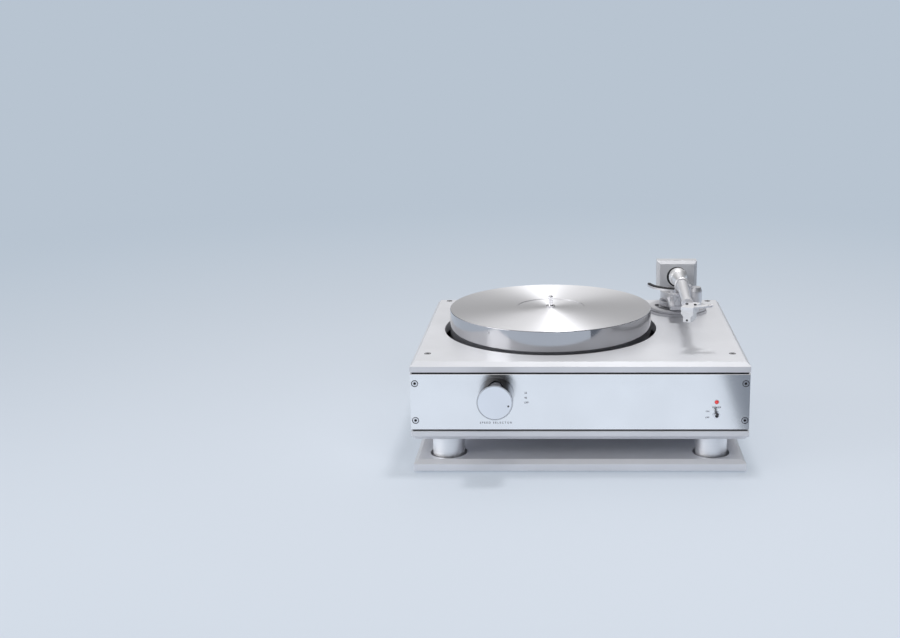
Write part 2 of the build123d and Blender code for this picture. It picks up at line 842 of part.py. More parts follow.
# Control board on four posts, and the transformer
board_y = front + board_from_front
with BuildPart(Plane.XY.offset(bottom_top)) as control_board:
    with Locations((board_x, board_y, board_lift)):
        Box(board_w, board_d, board_t, align=ON)
        with GridLocations(chip_pitch, chip_pitch, 3, 2):
            Box(chip_w, chip_w, board_t + chip_h, align=ON)
    with Locations((board_x, board_y, 0)):
        with GridLocations(board_w - board_post_inset, board_d - board_post_inset, 2, 2):
            Cylinder(board_post_r, board_lift, align=ON)
save(control_board, "control_board")

with BuildPart(Plane.XY.offset(bottom_top)) as transformer:
    with Locations((transformer_x, front + transformer_from_front, 0)):
        Cylinder(transformer_r, transformer_h, align=ON)
        Cylinder(transformer_core_r, transformer_h, align=ON, mode=Mode.SUBTRACT)
save(transformer, "transformer")

# Tonearm: places are given from the arm's upright axis and the top plate's face
arm_axis = Axis((arm_x, arm_y, deck), (0, 0, 1))
arm_section = Plane(origin=(arm_x, arm_y, deck), x_dir=(1, 0, 0), z_dir=(0, -1, 0))


def arm_point(x, y, height):
    """A point by its distances from the arm's axis and its height above the top plate."""
    return (arm_x + x, arm_y + y, deck + height)


def arm_level(height):
    """A level plane on the arm's axis."""
    return Plane(origin=arm_point(0, 0, height))


# Arm flange: a two-step ring with a groove and curved slots, and the tube through the top plate
slot_spans = ((178, 20), (222, 38), (2, 20), (318, 38), (90, 50))
upper_r = flange_r - flange_groove
with BuildPart() as arm_flange:
    with BuildSketch(arm_section):
        with BuildLine():
            Polyline(
                (pillar_tube_r + running, -flange_tube_l),
                (flange_tube_r, -flange_tube_l),
                (flange_tube_r, 0),
                (flange_r, 0),
                (flange_r, flange_lower_h),
                (flange_r - flange_groove_depth, flange_lower_h),
                (flange_r - flange_groove_depth, flange_lower_h + flange_groove),
                (upper_r, flange_lower_h + flange_groove),
                (upper_r, flange_h - edge_break),
                (upper_r - edge_break, flange_h),
                (pillar_tube_r + running, flange_h),
                close=True,
            )
        make_face()
    revolve(axis=arm_axis)
    with BuildSketch(arm_level(flange_h)):
        for middle, span in slot_spans:
            start = middle - span / 2
            slot_line = Edge.make_circle(flange_slot_r, start_angle=start, end_angle=start + span)
            SlotArc(slot_line, flange_slot_w)
    extrude(amount=-flange_slot_depth, mode=Mode.SUBTRACT)
save(arm_flange, "arm_flange")

# Arm pillar: slides in the flange and carries collar, tower and the boss of the dial
collar_low = flange_h + pillar_gap
collar_top = collar_low + pillar_collar_h
with BuildPart() as arm_pillar:
    with BuildSketch(arm_section):
        with BuildLine():
            Polyline(
                (0, -flange_tube_l + edge_break),
                (pillar_tube_r, -flange_tube_l + edge_break),
                (pillar_tube_r, collar_low),
                (pillar_collar_r, collar_low),
                (pillar_collar_r, collar_top - edge_break),
                (pillar_collar_r - edge_break, collar_top),
                (pillar_neck_r, collar_top),
                (pillar_neck_r, tower_low),
                (tower_r - tower_round, tower_low),
            )
            RadiusArc((tower_r - tower_round, tower_low), (tower_r, tower_low + tower_round), -tower_round)
            Polyline(
                (tower_r, tower_low + tower_round),
                (tower_r, tower_top - edge_break),
                (tower_r - edge_break, tower_top),
                (0, tower_top),
                (0, -flange_tube_l + edge_break),
            )
        make_face()
    revolve(axis=arm_axis)
    with Locations(arm_point(boss_x, boss_y, boss_low)):
        Cylinder(boss_r, boss_top - boss_low, align=ON)
    with Locations(arm_point(boss_x, boss_y, boss_top)):
        Cylinder(dial_pin_r + running, dial_pin_l + hole_past, align=UNDER, mode=Mode.SUBTRACT)
    with Locations(arm_point(0, 0, tower_top)):
        Cylinder(yoke_post_r + running, yoke_depth + hole_past, align=UNDER, mode=Mode.SUBTRACT)
        Cylinder(lead_r, tower_top + flange_tube_l, align=UNDER, mode=Mode.SUBTRACT)
save(arm_pillar, "arm_pillar")

# Anti-skating dial on the boss
with BuildPart() as antiskate_dial:
    with Locations(arm_point(boss_x, boss_y, boss_top + dial_gap)):
        Cylinder(boss_r, dial_lip, align=ON)
    with Locations(arm_point(boss_x, boss_y, boss_top + dial_gap + dial_lip)):
        Cone(boss_r, dial_top_r, dial_top - boss_top - dial_gap - dial_lip, align=ON)
    with Locations(arm_point(boss_x, boss_y, boss_top + dial_gap)):
        Cylinder(dial_pin_r, dial_pin_l, align=UNDER)
save(antiskate_dial, "antiskate_dial")

# Bracket in front of the tower: sleeve of the lift, post and hook of the arm rest
lift_end = math.radians(lift_end_deg)
plunger_x = lift_r * math.cos(lift_end)
plunger_y = lift_r * math.sin(lift_end)
lift_metal_low = lift_top - lift_pad_t - lift_metal_t
sleeve_top = lift_metal_low - plunger_hub_h - lift_travel - dial_gap
bracket_top = bracket_low + bracket_t
lever_height = bracket_low + bracket_t / 2
rest_tube_r = tube_rear_r
rest_x = neck_side + (tube_front_x - neck_side) * (-rest_y - neck_reach) / (-tube_front_y - neck_reach)
rest_wall_x = rest_x + rest_tube_r + rest_gap
rest_floor_l = rest_wall_x + rest_wall_t - bracket_x + bracket_w / 2
with BuildPart() as rest_bracket:
    with Locations(arm_point(bracket_x, 0, bracket_low)):
        Box(bracket_w, bracket_reach, bracket_t, align=(Align.CENTER, Align.MAX, Align.MIN))
    with Locations(arm_point(0, 0, bracket_low)):
        Cylinder(tower_r + seat, bracket_t, align=ON, mode=Mode.SUBTRACT)
    with Locations(arm_point(plunger_x, plunger_y, bracket_top)):
        Cylinder(sleeve_r, sleeve_top - bracket_top, align=ON)
    with Locations(arm_point(bracket_x, rest_y, bracket_top)):
        Box(rest_t, rest_t, rest_floor - rest_wall_t - bracket_top, align=ON)
    with Locations(arm_point(rest_wall_x + rest_wall_t, rest_y, rest_floor)):
        Box(rest_floor_l - rest_t / 2, rest_t, rest_wall_t, align=(Align.MAX, Align.CENTER, Align.MAX))
    with Locations(arm_point(rest_wall_x, rest_y, rest_floor - rest_wall_t)):
        wall_h = rest_wall_top - rest_floor + rest_wall_t
        Box(rest_wall_t, rest_t, wall_h, align=(Align.MIN, Align.CENTER, Align.MIN))
    with Locations(arm_point(plunger_x, plunger_y, sleeve_top)):
        Cylinder(plunger_r + running, sleeve_top - bracket_low, align=UNDER, mode=Mode.SUBTRACT)
    with Locations(facing(arm_point(bracket_x + bracket_w / 2, lever_y, lever_height), (1, 0, 0))):
        Cylinder(lever_shaft_r + running, bracket_w / 2, align=UNDER, mode=Mode.SUBTRACT)
    with Locations(facing(arm_point(bracket_x, rest_y - rest_t / 2, clip_height), (0, -1, 0))):
        Cylinder(clip_pin_r + running, rest_t / 2, align=UNDER, mode=Mode.SUBTRACT)
save(rest_bracket, "rest_bracket")

# Lift: a curved rail about the arm's axis on a plunger, with a rubber top
with BuildPart() as lift_arc:
    with BuildSketch(arm_level(lift_metal_low)):
        rail = Edge.make_circle(lift_r, start_angle=lift_start_deg, end_angle=lift_end_deg)
        SlotArc(rail, lift_w)
    extrude(amount=lift_metal_t)
    with Locations(arm_point(plunger_x, plunger_y, lift_metal_low)):
        Cylinder(plunger_hub_r, plunger_hub_h, align=UNDER)
        Cylinder(plunger_r, lift_metal_low - bracket_low - lift_travel, align=UNDER)
save(lift_arc, "lift_arc")

with BuildPart() as lift_pad:
    with BuildSketch(arm_level(lift_top - lift_pad_t)):
        rail = Edge.make_circle(lift_r, start_angle=lift_start_deg, end_angle=lift_end_deg)
        SlotArc(rail, lift_w - 2 * edge_break)
    extrude(amount=lift_pad_t)
save(lift_pad, "lift_pad")

# Cueing lever: its shaft turns in the bracket
lever_root = arm_point(bracket_x + bracket_w / 2 + lever_side, lever_y, lever_height)
lever_out = (0, -math.cos(math.radians(lever_tilt)), math.sin(math.radians(lever_tilt)))
with BuildPart() as cue_lever:
    with Locations(facing(lever_root, (-1, 0, 0))):
        Cylinder(lever_shaft_r, bracket_w / 2 + lever_side, align=ON)
    with Locations(lever_root):
        Sphere(lever_root_r)
    with Locations(facing(lever_root, lever_out)):
        Cylinder(lever_rod_r, lever_l, align=ON)
    with Locations(facing(lever_root, lever_out).offset(lever_l)):
        Sphere(lever_tab_r)
save(cue_lever, "cue_lever")

# Rest clip: a small eye on a pin in the front of the rest post
with BuildPart() as rest_clip:
    clip_plane = front_view(arm_x + bracket_x, deck + clip_height, arm_y + rest_y - rest_t / 2 - dial_gap)
    with Locations(clip_plane):
        Cylinder(clip_r, clip_t, align=ON)
        Cylinder(clip_pin_r, rest_t / 2, align=UNDER)
    with BuildSketch(clip_plane):
        with Locations((0, clip_reach / 2)):
            Rectangle(clip_t, clip_reach)
        with Locations((0, clip_reach)):
            Circle(clip_r)
    extrude(amount=clip_t)
    with Locations(clip_plane):
        with Locations((0, clip_reach, 0)):
            Cylinder(clip_hole_r, clip_t, align=ON, mode=Mode.SUBTRACT)
save(rest_clip, "rest_clip")

# Yoke: turns in the tower on its post and reaches up into the hub
pivot = arm_point(0, 0, pivot_h)
with BuildPart() as arm_yoke:
    with Locations(arm_point(0, 0, tower_top + yoke_gap)):
        Cylinder(yoke_post_r, yoke_depth + yoke_gap, align=UNDER)
        Cylinder(yoke_shoulder_r, yoke_shoulder_t, align=ON)
        Cylinder(yoke_head_r, pivot_h + yoke_head_rise - tower_top - yoke_gap, align=ON)
    with Locations(facing(pivot, (1, 0, 0))):
        Cylinder(pivot_pin_r + running, 2 * hub_r, mode=Mode.SUBTRACT)
save(arm_yoke, "arm_yoke")

# Hub: the ball with its neck in front and the stub of the counterweight behind
neck_end = arm_point(neck_side, -neck_reach, pivot_h + neck_rise)
neck_plane = towards(pivot, neck_end)
stub_plane = Plane(origin=arm_point(stub_side, 0, pivot_h - stub_drop), x_dir=(-1, 0, 0), z_dir=(0, 1, 0))
pivot_planes = [facing(pivot, (-1, 0, 0)), facing(pivot, (1, 0, 0))]
hub_screw_angle = math.radians(hub_screw_deg)
hub_screw_planes = [
    facing(pivot, (-math.sin(hub_screw_angle), -math.cos(hub_screw_angle), 0)),
    facing(pivot, (math.sin(hub_screw_angle), -math.cos(hub_screw_angle), 0)),
]
with BuildPart() as arm_hub:
    with Locations(pivot):
        Sphere(hub_r)
    with Locations(neck_plane.offset(neck_root)):
        Cone(neck_root_r, neck_r, neck_taper_l, align=ON)
        Cylinder(neck_r, neck_reach - neck_root, align=ON)
    with Locations(stub_plane.offset(neck_root)):
        Cylinder(stub_r, stub_l - neck_root, align=ON)
    with Locations(arm_point(0, 0, pivot_h + hub_slot_rise)):
        Box(hub_slot_w, hub_slot_l, hub_slot_rise + 2 * hub_r, align=UNDER, mode=Mode.SUBTRACT)
    for plane in pivot_planes:
        with Locations(plane):
            Cylinder(pivot_head_r + running, hub_r, align=ON, mode=Mode.SUBTRACT)
    for plane in hub_screw_planes:
        with Locations(plane.offset(hub_r - hub_screw_l)):
            Cylinder(hub_screw_r + running, hub_screw_l, align=ON, mode=Mode.SUBTRACT)
save(arm_hub, "arm_hub")

# Pivot pins point inwards from the ball's sides. Two grub screws show on its front
with BuildPart() as hub_screws:
    for plane in pivot_planes:
        with Locations(plane.offset(hub_r - edge_break)):
            Cylinder(pivot_head_r, pivot_head_l, align=UNDER)
            Cylinder(pivot_pin_r, pivot_pin_l, align=UNDER)
    for plane in hub_screw_planes:
        with Locations(plane.offset(hub_r - edge_break)):
            Cylinder(hub_screw_r, hub_screw_l - edge_break, align=UNDER)
save(hub_screws, "hub_screws")

# Arm tube and the ring that joins it to the neck
tube_end = arm_point(tube_front_x, tube_front_y, tube_front_h)
tube_plane = towards(neck_end, tube_end)
tube_l = (Vector(*tube_end) - Vector(*neck_end)).length
with BuildPart() as arm_tube:
    with Locations(tube_plane.offset(tube_start)):
        Cone(tube_rear_r, tube_front_r, tube_l - tube_start, align=ON)
        Cylinder(tube_bore_r, tube_l - tube_start, align=ON, mode=Mode.SUBTRACT)
save(arm_tube, "arm_tube")

with BuildPart() as tube_ring:
    with Locations(tube_plane.offset(-ring_back)):
        Cylinder(ring_r, ring_l, align=ON)
    chamfer(tube_ring.edges().filter_by(GeomType.CIRCLE), 2 * edge_break)
    with Locations(tube_plane.offset(-ring_back)):
        Cylinder(neck_r + ring_back_gap, ring_back, align=ON, mode=Mode.SUBTRACT)
    with Locations(tube_plane):
        Cylinder(tube_rear_r + seat, ring_l, align=ON, mode=Mode.SUBTRACT)
save(tube_ring, "tube_ring")

# Counterweight: a block on the stub, with a soft ring in its bore
block_plane = stub_plane.offset(weight_gap + weight_t / 2)
with BuildPart() as counterweight:
    with Locations(block_plane):
        with Locations((0, weight_rise, 0)):
            Box(weight_w, weight_h, weight_t)
    outlines = counterweight.edges().group_by(Axis.Y)
    chamfer(outlines[0] + outlines[-1], weight_chamfer)
    chamfer(counterweight.edges().filter_by(Axis.Y), edge_break)
    with Locations(block_plane):
        Cylinder(weight_bore_r, weight_t, mode=Mode.SUBTRACT)
save(counterweight, "counterweight")

with BuildPart() as decoupling_ring:
    with Locations(block_plane):
        Cylinder(weight_bore_r - running, weight_t - 2 * edge_break)
        Cylinder(stub_r + running, weight_t, mode=Mode.SUBTRACT)
save(decoupling_ring, "decoupling_ring")

# Headshell: a turned plate with a socket for the tube
yaw = math.radians(shell_yaw)
shell_forward = Vector(-math.sin(yaw), -math.cos(yaw), 0)
shell_right = Vector(math.cos(yaw), -math.sin(yaw), 0)
shell_centre = Vector(*arm_point(shell_x, shell_y, shell_top))
shell_plane = Plane(origin=shell_centre, x_dir=shell_right, z_dir=(0, 0, 1))
screw_spots = [
    (-shell_screw_pitch / 2, -shell_screw_forward, 0),
    (shell_screw_pitch / 2, -shell_screw_forward, 0),
]
with BuildPart() as headshell:
    with Locations(shell_plane):
        Box(shell_w, shell_l, shell_t, align=UNDER)
    with Locations(tube_plane.offset(tube_l - socket_overlap)):
        Cylinder(socket_r, socket_l, align=ON)
    with Locations(tube_plane):
        Cylinder(tube_rear_r, tube_l + seat, align=ON, mode=Mode.SUBTRACT)
    for spot in screw_spots:
        with Locations(shell_plane):
            with Locations(spot):
                Cylinder(shell_screw_r + seat, shell_t, align=UNDER, mode=Mode.SUBTRACT)
save(headshell, "headshell")

with BuildPart() as headshell_screws:
    for spot in screw_spots:
        with Locations(shell_plane):
            with Locations(spot):
                Cylinder(shell_screw_head_r, shell_screw_head_h, align=ON)
                Cylinder(shell_screw_r, shell_t, align=UNDER)
save(headshell_screws, "headshell_screws")

# Finger lift: a tab that rises a little to the right, with a round dimple near its tip
tab_root = shell_centre + shell_right * (shell_w / 2) - shell_forward * lift_tab_forward
tab_tilt = math.radians(lift_tab_tilt)
tab_plane = Plane(
    origin=tab_root - Vector(0, 0, lift_tab_t),
    x_dir=(math.cos(tab_tilt), 0, math.sin(tab_tilt)),
    z_dir=(-math.sin(tab_tilt), 0, math.cos(tab_tilt)),
)
with BuildPart() as finger_lift:
    with BuildSketch(tab_plane):
        with Locations(((lift_tab_l - shell_w / 2) / 2, 0)):
            RectangleRounded(lift_tab_l + shell_w / 2, lift_tab_w, lift_tab_round)
    extrude(amount=lift_tab_t)
    with Locations(shell_plane):
        Box(shell_w + 2 * seat, 2 * shell_l, 3 * shell_t, mode=Mode.SUBTRACT)
    with Locations(tab_plane):
        with Locations((lift_tab_l - lift_tab_w / 2, 0, lift_tab_t)):
            Cylinder(lift_tab_dimple_r, lift_tab_dimple, align=UNDER, mode=Mode.SUBTRACT)
save(finger_lift, "finger_lift")

# Cartridge: broad at the top, narrow below, under the headshell
cartridge_middle = shell_centre + shell_forward * cartridge_forward - Vector(0, 0, shell_t)
cartridge_front = Plane(
    origin=cartridge_middle + shell_forward * (cartridge_l / 2),
    x_dir=shell_right,
    z_dir=shell_forward,
)
with BuildPart() as cartridge:
    with BuildSketch(cartridge_front):
        with BuildLine():
            Polyline(
                (-cartridge_w / 2, 0),
                (cartridge_w / 2, 0),
                (cartridge_w / 2, -cartridge_shoulder),
                (cartridge_foot_w / 2, -cartridge_shoulder - cartridge_slope),
                (cartridge_foot_w / 2, -cartridge_h),
                (-cartridge_foot_w / 2, -cartridge_h),
                (-cartridge_foot_w / 2, -cartridge_shoulder - cartridge_slope),
                (-cartridge_w / 2, -cartridge_shoulder),
                close=True,
            )
        make_face()
    extrude(amount=-cartridge_l)
save(cartridge, "cartridge")

# Stylus: a thin rod that leaves the cartridge's underside towards the front
stylus_root = cartridge_front.from_local_coords((0, -cartridge_h, -cartridge_l / 2))
stylus_angle = math.radians(stylus_tilt)
stylus_out = shell_forward * math.cos(stylus_angle) - Vector(0, 0, math.sin(stylus_angle))
stylus_plane = Plane(origin=stylus_root - Vector(0, 0, stylus_rod_r), z_dir=stylus_out)
with BuildPart() as stylus:
    with Locations(stylus_plane):
        Cylinder(stylus_rod_r, stylus_rod_l, align=ON)
    with Locations(Plane(origin=stylus_plane.offset(stylus_rod_l - stylus_rod_r).origin, z_dir=(0, 0, -1))):
        Cone(stylus_rod_r, stylus_tip_r, stylus_tip_h, align=ON)
save(stylus, "stylus")
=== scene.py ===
# %% [markdown]
# # A record player in milled and turned aluminium
# The CAD parts are loaded first and stay where they are. Everything below gives them their
# finishes, models the pieces whose edges and sockets catch the light, prints the few plain
# words on the front, and sets up the studio.

# %% Load the CAD parts
import math

import bpy
from mathutils import Matrix, Vector


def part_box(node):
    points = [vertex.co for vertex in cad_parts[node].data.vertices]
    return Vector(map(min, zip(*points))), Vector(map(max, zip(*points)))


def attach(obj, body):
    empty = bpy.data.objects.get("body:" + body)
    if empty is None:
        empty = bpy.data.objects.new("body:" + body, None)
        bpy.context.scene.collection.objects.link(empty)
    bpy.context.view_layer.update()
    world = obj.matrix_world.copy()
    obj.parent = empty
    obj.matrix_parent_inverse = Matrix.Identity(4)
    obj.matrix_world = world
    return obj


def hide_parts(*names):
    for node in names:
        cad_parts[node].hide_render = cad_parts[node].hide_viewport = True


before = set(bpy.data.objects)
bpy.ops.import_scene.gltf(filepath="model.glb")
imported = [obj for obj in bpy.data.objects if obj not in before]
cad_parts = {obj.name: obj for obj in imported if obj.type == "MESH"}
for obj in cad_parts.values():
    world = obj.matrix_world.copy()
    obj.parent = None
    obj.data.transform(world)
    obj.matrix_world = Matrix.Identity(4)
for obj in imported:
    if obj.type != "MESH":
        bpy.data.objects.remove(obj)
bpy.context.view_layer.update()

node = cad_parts

# %% [markdown]
# ## Sizes
# All places are in metres in the CAD frame: X to the right, Y to the back, Z up. The values
# below are read off the CAD nodes, so a piece that is added later sits on what carries it.

# %% Sizes read from the CAD
mm = 0.001


def middle(name):
    """The centre of a CAD node's box."""
    low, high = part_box(name)
    return (low + high) / 2


deck_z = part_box("top_plate")[1].z
panel_face_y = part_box("front_panel")[0].y
rear_face_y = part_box("rear_panel")[1].y
platter_low, platter_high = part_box("platter")
platter_centre = middle("platter")
knob_low, knob_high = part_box("speed_knob")
knob_centre = middle("speed_knob")
knob_radius = (knob_high.x - knob_low.x) / 2
arm_centre = middle("arm_flange")
lamp_centre = middle("power_lamp")
toggle_centre = middle("toggle_body")
print("deck at", round(deck_z, 4), "platter at", tuple(platter_centre))

# %% [markdown]
# ## Finishes
# Bare aluminium is never one flat colour. Blasting leaves fine pits, a lathe leaves rings and a
# cutter leaves a hairline grain. Each finish below is a metal or plastic whose roughness and
# bump come from a noise that is stretched the way the tool moved. The noise reads Object
# coordinates, which are metres in the CAD frame, so the grain has its real size.


# %% Helpers that build a material's nodes
def paint(red, green, blue):
    """A colour as it is seen, from 0 to 255, made linear for a shader."""
    return tuple(
        (c / 255 / 12.92) if c < 11 else ((c / 255 + 0.055) / 1.055) ** 2.4 for c in (red, green, blue)
    )


far_grey = paint(184, 196, 209)


def blank_material(name, colour, roughness, metallic=1.0):
    """A material with its shader's fixed values set."""
    material = bpy.data.materials.new(name)
    material.use_nodes = True
    shader = material.node_tree.nodes["Principled BSDF"]
    shader.inputs["Base Color"].default_value = (*colour, 1.0)
    shader.inputs["Roughness"].default_value = roughness
    shader.inputs["Metallic"].default_value = metallic
    return material, shader


def add_node(material, kind, **values):
    """Adds a node and sets its properties."""
    new = material.node_tree.nodes.new(kind)
    for key, value in values.items():
        setattr(new, key, value)
    return new


def join(material, start, end):
    """Links one socket to another."""
    material.node_tree.links.new(start, end)


def object_place(material, centre=(0, 0, 0), scale=(1, 1, 1)):
    """Object coordinates, measured from a centre and stretched."""
    place = add_node(material, "ShaderNodeTexCoord")
    mapping = add_node(material, "ShaderNodeMapping", vector_type="POINT")
    mapping.inputs["Location"].default_value = [-c * s for c, s in zip(centre, scale)]
    mapping.inputs["Scale"].default_value = scale
    join(material, place.outputs["Object"], mapping.inputs["Vector"])
    return mapping.outputs["Vector"]


def spread(material, value, low, high):
    """Turns a 0 to 1 value into a range."""
    ramp = add_node(material, "ShaderNodeMapRange")
    ramp.inputs["From Min"].default_value = 0.3
    ramp.inputs["From Max"].default_value = 0.7
    ramp.inputs["To Min"].default_value = low
    ramp.inputs["To Max"].default_value = high
    join(material, value, ramp.inputs["Value"])
    return ramp.outputs["Result"]


def tint(material, value, dark, light):
    """Turns a 0 to 1 value into a colour between two."""
    ramp = add_node(material, "ShaderNodeValToRGB")
    ramp.color_ramp.elements[0].position = 0.3
    ramp.color_ramp.elements[1].position = 0.7
    ramp.color_ramp.elements[0].color = (*dark, 1)
    ramp.color_ramp.elements[1].color = (*light, 1)
    join(material, value, ramp.inputs["Fac"])
    return ramp.outputs["Color"]


def noise(material, vector, scale, detail=3.0):
    """A noise of a given number of spots per metre."""
    spots = add_node(material, "ShaderNodeTexNoise")
    spots.inputs["Scale"].default_value = scale
    spots.inputs["Detail"].default_value = detail
    join(material, vector, spots.inputs["Vector"])
    return spots.outputs["Fac"]


def dent(material, shader, height, strength, depth):
    """Bump from a height, which the shader's light follows."""
    bump = add_node(material, "ShaderNodeBump")
    bump.inputs["Strength"].default_value = strength
    bump.inputs["Distance"].default_value = depth
    join(material, height, bump.inputs["Height"])
    join(material, bump.outputs["Normal"], shader.inputs["Normal"])


def grainy(name, colour, roughness, stretch=(1, 1, 1), scale=900.0, depth=0.00002, metallic=1.0, uneven=0.2):
    """A metal or plastic with a fine grain, stretched the way the tool moved."""
    material, shader = blank_material(name, colour, roughness, metallic)
    grain = noise(material, object_place(material, scale=stretch), scale)
    clouds = noise(material, object_place(material), 14.0)
    gloss = spread(material, grain, roughness * (1 - uneven), roughness * (1 + uneven))
    join(material, gloss, shader.inputs["Roughness"])
    dark = [c * 0.94 for c in colour]
    join(material, tint(material, clouds, dark, colour), shader.inputs["Base Color"])
    dent(material, shader, grain, 0.35, depth)
    return material


# %% Turned finishes: the grain runs in rings round an axis
def turned(name, colour, roughness, centre, axis, rings=1600.0, anisotropy=0.8, depth=0.00001):
    """A lathe-turned face: rings round the axis, and light that stretches across them."""
    material, shader = blank_material(name, colour, roughness)
    place = object_place(material, centre)
    flat = add_node(material, "ShaderNodeVectorMath", operation="MULTIPLY")
    flat.inputs[1].default_value = [1 - abs(a) for a in axis]
    join(material, place, flat.inputs[0])
    length = add_node(material, "ShaderNodeVectorMath", operation="LENGTH")
    join(material, flat.outputs["Vector"], length.inputs[0])
    along = add_node(material, "ShaderNodeVectorMath", operation="DOT_PRODUCT")
    along.inputs[1].default_value = axis
    join(material, place, along.inputs[0])
    pair = add_node(material, "ShaderNodeCombineXYZ")
    join(material, length.outputs["Value"], pair.inputs["X"])
    join(material, along.outputs["Value"], pair.inputs["Y"])
    groove = noise(material, pair.outputs["Vector"], rings, 2.0)
    broad = noise(material, pair.outputs["Vector"], rings / 16, 2.0)
    join(material, spread(material, broad, roughness * 0.85, roughness * 1.15), shader.inputs["Roughness"])
    dark = [c * 0.93 for c in colour]
    join(material, tint(material, groove, dark, colour), shader.inputs["Base Color"])
    dent(material, shader, groove, 0.25, depth)
    around = add_node(material, "ShaderNodeVectorMath", operation="CROSS_PRODUCT")
    around.inputs[0].default_value = axis
    join(material, flat.outputs["Vector"], around.inputs[1])
    surface = add_node(material, "ShaderNodeNewGeometry")
    across = add_node(material, "ShaderNodeVectorMath", operation="CROSS_PRODUCT")
    join(material, around.outputs["Vector"], across.inputs[0])
    join(material, surface.outputs["Normal"], across.inputs[1])
    shader.inputs["Anisotropic"].default_value = anisotropy
    join(material, across.outputs["Vector"], shader.inputs["Tangent"])
    return material, shader


# %% The finishes of this record player
plate_blasted = grainy("plate_blasted", (0.79, 0.80, 0.84), 0.42, scale=1800.0, depth=0.000008, metallic=0.35)
# The base is the plates' blasted aluminium painted lighter: painted light for its front edge, which the lamps
# leave too dim.
base_painted_lighter = grainy("base_painted_lighter", (0.84, 0.85, 0.89), 0.42, scale=1800.0, depth=0.000008, metallic=0.5)
panel_satin = grainy(
    "panel_satin", (0.95, 0.95, 0.96), 0.21, stretch=(0.05, 1, 1), scale=2600.0, depth=0.0000002, uneven=0.02
)
inner_milled = grainy("inner_milled", (0.56, 0.57, 0.60), 0.45, stretch=(1, 0.05, 1))
screw_steel = grainy("screw_steel", (0.80, 0.80, 0.83), 0.20, scale=2500.0, depth=0.000004)
# Black: the arm's small screws have it, and it is also painted shade inside screw sockets and the cartridge's
# window.
black_screws_and_socket_shade = grainy("black_screws_and_socket_shade", (0.035, 0.036, 0.042), 0.50, scale=2500.0, metallic=0.0)
bearing_steel = grainy("bearing_steel", (0.82, 0.82, 0.85), 0.10, scale=2500.0, depth=0.000002)
bush_brass = grainy("bush_brass", (0.75, 0.58, 0.28), 0.3)
seal_rubber = grainy("seal_rubber", (0.014, 0.014, 0.018), 0.6, scale=1200.0, metallic=0.0)
lever_black = grainy("lever_black", (0.02, 0.02, 0.024), 0.35, scale=2500.0, depth=0.000002, metallic=0.0)
switch_chrome = grainy("switch_chrome", (0.80, 0.80, 0.83), 0.08, scale=2500.0, depth=0.000002)
case_plastic = grainy("case_plastic", (0.03, 0.03, 0.034), 0.45, scale=1800.0, metallic=0.0)
socket_brass = grainy("socket_brass", (0.80, 0.62, 0.30), 0.2)
motor_steel = grainy("motor_steel", (0.40, 0.41, 0.43), 0.4)
board_green = grainy("board_green", (0.03, 0.20, 0.09), 0.4, metallic=0.0)
arm_satin = grainy("arm_satin", (0.74, 0.74, 0.77), 0.38, scale=1800.0, depth=0.000006, metallic=0.8)
weight_satin = grainy("weight_satin", (0.66, 0.67, 0.70), 0.70, scale=1800.0, depth=0.000006, metallic=0.6)
hub_satin = grainy("hub_satin", (0.86, 0.86, 0.88), 0.40, scale=1800.0, depth=0.000004, metallic=0.7)
tube_satin = grainy("tube_satin", (0.84, 0.84, 0.87), 0.45, scale=1800.0, depth=0.000006, metallic=0.7)
body_white = grainy("body_white", (0.80, 0.81, 0.84), 0.35, scale=1800.0, depth=0.000006, metallic=0.0)
print_grey = grainy("print_grey", (0.07, 0.07, 0.09), 0.6, metallic=0.0)
print("finishes:", len(bpy.data.materials))

# %% [markdown]
# The platter has two finishes on one piece. Its top is turned with a round tool, which leaves
# grooves that throw the light into two bright wedges, and its rim is polished until it mirrors
# the plate around it, and its colour is painted darker as painted shade for what it mirrors. The distance
# from the axis decides which shows.

# %% The platter: a turned top and a polished rim
platter_radius = (platter_high.x - platter_low.x) / 2
platter_turned, platter_shader = turned(
    "platter_turned", (0.86, 0.86, 0.885), 0.34, platter_centre, (0, 0, 1), anisotropy=0.8
)


def by_radius(material, centre, radius, blend, within, beyond):
    """A value that changes from one to the other at a distance from an upright axis."""
    flat = add_node(material, "ShaderNodeVectorMath", operation="MULTIPLY")
    flat.inputs[1].default_value = (1, 1, 0)
    join(material, object_place(material, centre), flat.inputs[0])
    length = add_node(material, "ShaderNodeVectorMath", operation="LENGTH")
    join(material, flat.outputs["Vector"], length.inputs[0])
    ramp = add_node(material, "ShaderNodeMapRange")
    ramp.inputs["From Min"].default_value = radius - blend
    ramp.inputs["From Max"].default_value = radius
    ramp.inputs["To Min"].default_value = within
    ramp.inputs["To Max"].default_value = beyond
    join(material, length.outputs["Value"], ramp.inputs["Value"])
    return ramp.outputs["Result"]


rim_start, rim_blend = platter_radius - 0.2 * mm, 0.4 * mm
top_gloss, rim_gloss = 0.47, 0.09
# The rim's colour is painted darker than the metal: painted shade for the darker things it mirrors.
rim_painted_shade = (0.48, 0.48, 0.50)
join(
    platter_turned,
    by_radius(platter_turned, platter_centre, rim_start, rim_blend, top_gloss, rim_gloss),
    platter_shader.inputs["Roughness"],
)
base_colour = platter_shader.inputs["Base Color"]
rim_shade_mix = add_node(platter_turned, "ShaderNodeMix", data_type="RGBA")
join(platter_turned, base_colour.links[0].from_socket, rim_shade_mix.inputs[6])
rim_shade_mix.inputs[7].default_value = (*rim_painted_shade, 1)
on_rim = by_radius(platter_turned, platter_centre, rim_start, rim_blend, 0, 1)
join(platter_turned, on_rim, rim_shade_mix.inputs["Factor"])
join(platter_turned, rim_shade_mix.outputs[2], base_colour)
print("platter radius", round(platter_radius, 4))
